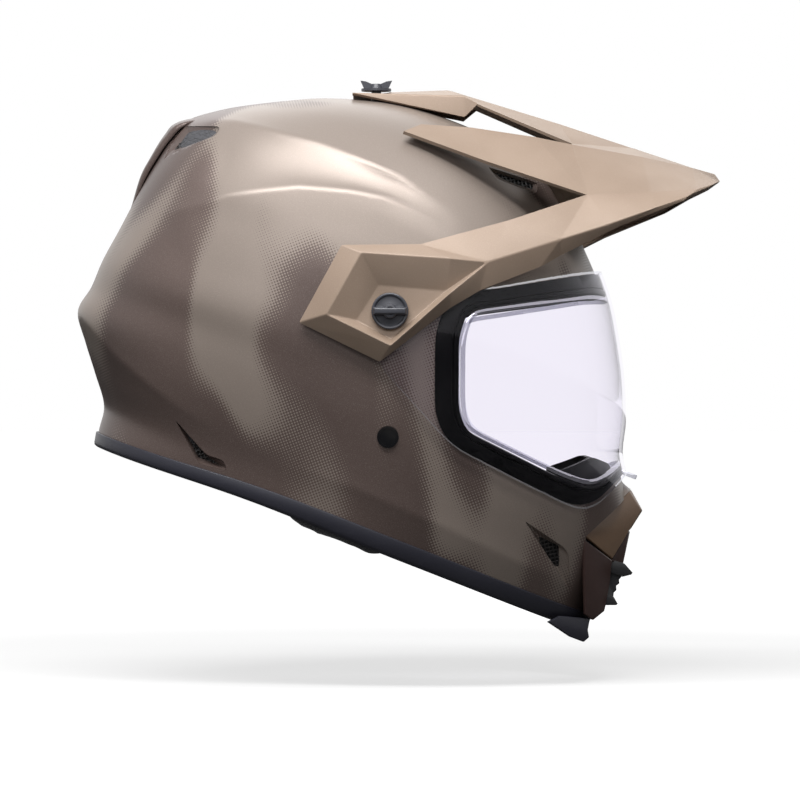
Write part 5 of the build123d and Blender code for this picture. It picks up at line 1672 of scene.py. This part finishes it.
def draw_down(mesh: bpy.types.Mesh, hang: float) -> None:
    """Draws a pad's lower edge down: a share of hang, exp(-((x - middle) / reach)^4) below the rim.

    Args:
        mesh: the pad's mesh, changed in place.
        hang: the most that its edge goes down, in millimetres.
    """
    middle, reach, start, full, lowest = 12.0, 42.0, 92.0, 108.0, -144.5
    level = from_worn(places_of(mesh) / MM)
    share = smooth_step(-level[:, 2], start, full) * np.exp(-((level[:, 0] - middle) / reach) ** 4)
    level[:, 2] = np.maximum(level[:, 2] - hang * share, lowest)
    mesh.vertices.foreach_set("co", (from_worn(level, -1.0) * MM).ravel())


def blow_up(piece: bpy.types.Object, pressure: float, most: float) -> None:
    """Runs a piece as cloth under an inner pressure, and caps how far each point moves.

    Args:
        piece: the cushion, changed in place.
        pressure: the cloth's inner pressure.
        most: the greatest move in millimetres.
    """
    before = places_of(piece.data)
    cloth = piece.modifiers.new("Cloth", "CLOTH")
    cloth.settings.use_pressure = True
    cloth.settings.uniform_pressure_force = pressure
    cloth.settings.effector_weights.gravity = 0.0
    cloth.settings.quality = 4
    scene = bpy.context.scene
    for step in range(1, 13):
        scene.frame_set(step)
    graph = bpy.context.evaluated_depsgraph_get()
    move = places_of(bpy.data.meshes.new_from_object(piece.evaluated_get(graph))) - before
    length = np.maximum(np.linalg.norm(move, axis=1, keepdims=True), 1e-9)
    move *= np.minimum(1.0, most * MM / length)
    piece.modifiers.clear()
    piece.data.vertices.foreach_set("co", (before + move).ravel())
    scene.frame_set(1)


def stuffed(name: str, node: str, frame: dict, voxel: float, swell: float, hang: float = 0.0,
            pressure: float = 4.0) -> bpy.types.Object:
    """A cushion: the node's form drawn in a little, remeshed, blown up as cloth and capped.

    Args:
        name: the piece's name.
        node: the CAD node that it stands for.
        frame: the loaded frame.
        voxel: the remesh's voxel in millimetres.
        swell: the most that a point may move, in millimetres.
        hang: how far the lower edge is drawn down near the middle, in millimetres.
        pressure: the cloth's inner pressure.

    Returns:
        The finished cushion.
    """
    piece = copy_node(name, node, frame)
    if hang:
        draw_down(piece.data, hang)
    add_modifier(piece, "REMESH", mode="VOXEL", voxel_size=voxel * MM)
    bake(piece)
    work = bmesh.new()
    work.from_mesh(piece.data)
    for _ in range(3):
        bmesh.ops.smooth_vert(work, verts=work.verts, factor=0.5, use_axis_x=True, use_axis_y=True,
                              use_axis_z=True)
    for vert in work.verts:
        vert.co -= vert.normal * (0.35 * swell * MM)
    work.to_mesh(piece.data)
    work.free()
    blow_up(piece, pressure, swell)
    add_modifier(piece, "SUBSURF", levels=1, render_levels=1)
    bake(piece)
    tidy(piece, 60.0, False)
    return piece


@dataclass
class Inside:
    """Foam, comfort liner, pads, neck roll and chin strap."""

    paints: Paints
    frame: dict
    half_length: float = 110.0
    half_width: float = 84.0
    crown: float = 99.0
    middle: tuple[float, float] = (-26.0, -5.0)
    outline: Pairs = ((-205.5, -83.4), (-73.4, -83.4), (-55.1, -40.4), (18.4, -29.6), (29.4, 0.0),
                      (29.4, 29.6), (99.1, 65.9), (220.2, 91.5), (220.2, 161.4), (-205.5, 161.4))
    rows: int = 90
    cols: int = 180

    def dome(self, inset: Array | float, run: Array, turn: Array) -> Array:
        """The head space at an inset: an ellipsoid's crown over a straight neck, from the crown down.

        Args:
            inset: distance inwards from the full head space.
            run: 0 at the crown, 1 at the brow line and more below it.
            turn: angle round from the front.

        Returns:
            Points in the level-rim frame.
        """
        tilt = np.minimum(run, 1.0) * math.pi / 2
        drop = np.maximum(run - 1.0, 0.0) * 150.0
        length, width, top = (size - inset for size in (self.half_length, self.half_width, self.crown))
        x = self.middle[0] + length * np.sin(tilt) * np.cos(turn)
        y = width * np.sin(tilt) * np.sin(turn)
        z = self.middle[1] + top * np.cos(tilt) - drop
        return from_worn(np.stack(np.broadcast_arrays(x, y, z), -1))

    def comfort(self) -> bpy.types.Object:
        """The quilted liner: each column runs down to the liner's side outline.

        Its thickness is 8 mm times 0.55 + 0.45 |sin| between seams, drawn in at the hem.
        """
        turn = np.linspace(0, 2 * math.pi, self.cols, endpoint=False)
        tries = np.linspace(0.02, 1.75, 500)[:, None]
        probe = self.dome(4.0, tries, turn[None])
        within = inside_outline(smooth_outline(self.outline, 11, 600), probe[..., 0], probe[..., 2])
        ends = tries[np.argmin(within, axis=0), 0]
        ends = soften(ends[:, None], 5, True)[:, 0]
        share = np.linspace(0, 1, self.rows)[:, None]
        run = share * ends[None]
        hem = np.minimum(1.0, (1 - share) * ends[None] * 150.0 / 9.0)
        puff = np.sqrt(np.clip(1 - (1 - hem)**2, 0, 1))
        place = self.dome(4.0, run, turn[None])
        seam = np.abs(np.sin(place[..., 1] / self.half_width * math.pi / 0.42))
        cross = np.abs(np.sin((run + 0.1) * math.pi / 0.45))
        quilt = np.clip(np.minimum(seam * 2.6, cross * 3.4 + (np.abs(place[..., 1]) > 36.0)), 0, 1) ** 0.6
        depth = 7.6 * (0.55 + 0.45 * quilt) * (0.25 + 0.75 * puff)
        outer = self.dome(0.6 + 2.0 * (1 - puff), run, turn[None])
        inner = self.dome(0.6 + 2.0 * (1 - puff) + depth, run, turn[None])
        points, faces = thick_sheet(outer, inner, True)
        return add_piece("comfort_liner_quilt", points, faces, 60.0)

    def foam(self) -> bpy.types.Object:
        """The impact foam as the part has it, whole behind the vents: its mesh isn't manifold."""
        piece = copy_node("impact_foam", "impact_liner", self.frame)
        tidy(piece, 30.0, False)
        return piece

    def chin_foam(self) -> bpy.types.Object:
        """The chin bar's foam, set back behind the cowl, with the passage to the mouth vent."""
        outline = ((113.8, -65.9), (220.0, -60.5), (220.0, -121.7), (113.8, -120.4))
        points, faces, _ = patch_on(smooth_outline(outline, 7), -21.0, -11.0, 70.0, 160, 30)
        piece = add_piece("chin_bar_foam", points, faces, 40.0)
        passage = np.array([(150.0, -90.0), (230.0, -90.0), (230.0, -122.5), (150.0, -122.5)])
        return carve(piece, [block(passage, -28.0, 28.0)], sharp=30.0)

    def ribbon(self, name: str, corners: Pairs, width: float, wall: float, centre: float,
               side: float = 1.0) -> bpy.types.Object:
        """A strap along a front-view path (y, z), with rounded bends and a UV map along the weave.

        Args:
            name: the piece's name.
            corners: the path's corners, in millimetres.
            width: the strap's width.
            wall: its thickness.
            centre: its middle along the helmet.
            side: 1 on the left, -1 on the right.

        Returns:
            The strap.
        """
        path = soften(resample(np.array(corners, float), 160, False), 9, False)
        along = np.gradient(path, axis=0)
        along /= np.linalg.norm(along, axis=1, keepdims=True)
        out = np.stack([-along[:, 1], along[:, 0]], -1)
        run = np.concatenate([[0.0], np.cumsum(np.linalg.norm(np.diff(path, axis=0), axis=1))])
        profile = []
        for k in range(28):
            a = 2 * math.pi * k / 28
            u = math.copysign(abs(math.cos(a)) ** 0.25, math.cos(a)) * width / 2
            v = math.copysign(abs(math.sin(a)) ** 0.6, math.sin(a)) * wall / 2
            profile.append((u, v * (1.0 - 0.22 * math.exp(-((abs(u) - width * 0.36) / 1.1) ** 2))))
        shape = np.array(profile)
        yz = path[:, None] + out[:, None] * shape[None, :, 1:]
        x = np.broadcast_to(centre + shape[None, :, 0], yz.shape[:2])
        points = np.stack([x, yz[..., 0] * side, yz[..., 1]], -1)
        rows, cols = points.shape[:2]
        piece = add_piece(name, points, tube_faces(rows, cols), 40.0)
        layer = piece.data.uv_layers.new(name="weave")
        corner = np.empty(len(piece.data.loops), np.int32)
        piece.data.loops.foreach_get("vertex_index", corner)
        uv = np.stack([np.repeat(run, cols), np.tile(shape[:, 0], rows)], -1)[corner] * MM
        layer.data.foreach_set("uv", uv.ravel())
        return piece

    def straps(self) -> None:
        """The short left strap with its ring loop and the long right strap, down from their anchors."""
        side_y, centre, loop_y, level, bend = 107.4, 25.1, 49.98, -126.4, 3.05
        drop = [(side_y, -56.0), (side_y, -80.7), (97.0, -118.4), (64.3, -125.1)]
        left = self.ribbon("strap_left", tuple(drop + [(54.5, level)]), 25.0, 2.0, centre)
        self.paints.dress(left, Slot.WEBBING, "helmet", "chin_strap_left")
        turns = [(math.cos(t), math.sin(t)) for t in np.linspace(0, 2 * math.pi, 40)]
        ring = [(loop_y + bend * c, level + bend * s + 2.4 * math.copysign(1, s)) for c, s in turns]
        self.paints.dress(self.ribbon("strap_loop", tuple(ring), 19.0, 1.9, centre), Slot.WEBBING, "helmet")
        right = self.ribbon("strap_right", tuple(drop + [(-11.5, level)]), 25.0, 2.0, centre, -1.0)
        self.paints.dress(right, Slot.WEBBING, "helmet", "chin_strap_right")

    def build(self) -> None:
        """Makes and dresses what the shell holds."""
        self.paints.dress(self.foam(), Slot.FOAM, "helmet", "impact_liner")
        self.paints.dress(self.chin_foam(), Slot.FOAM, "helmet", "chin_foam")
        quilt = self.paints.dress(self.comfort(), Slot.LINING, "helmet", "comfort_liner")
        for word in ("left", "right"):
            pad = stuffed(f"cheek_pad_cover_{word}", f"cheek_pad_{word}", self.frame, 5.0, 5.0, 40.0)
            self.paints.dress(pad, Slot.LINING, "helmet", f"cheek_pad_{word}")
        roll = stuffed("neck_roll_cover", "neck_roll", self.frame, 5.0, 4.0)
        self.paints.dress(roll, Slot.LINING, "helmet", "neck_roll")
        self.straps()


def dress_frame(paints: Paints, frame: dict) -> None:
    """Gives every CAD node that still shows the finish of its slot."""
    slots = {row["node"]: row["material_slot"] for row in frame["record"]["subparts"]}
    for name, node in frame["nodes"].items():
        node.data.materials.clear()
        node.data.materials.append(paints.by_name[slots[name]])


def main() -> None:
    """Builds the helmet group by group and reports each piece."""
    logging.basicConfig(level=logging.INFO, format="%(name)s %(message)s")
    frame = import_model()
    paints = Paints()
    Stage().build()
    dress_frame(paints, frame)
    shield = Shield(paints)
    shell = OuterShell(paints, vents={name: row[1] for name, row in VENTS.items()}, shield=shield.outline)
    shell.build()
    for name, (node, mouth, screen, depth) in VENTS.items():
        Vent(paints, name, node, mouth, screen, depth).build()
    ChinFront(paints).build()
    shield.build(shell.eyeport)
    Visor(paints).build()
    Screws(paints).build()
    Inside(paints, frame).build()


if __name__ == "__main__":
    main()
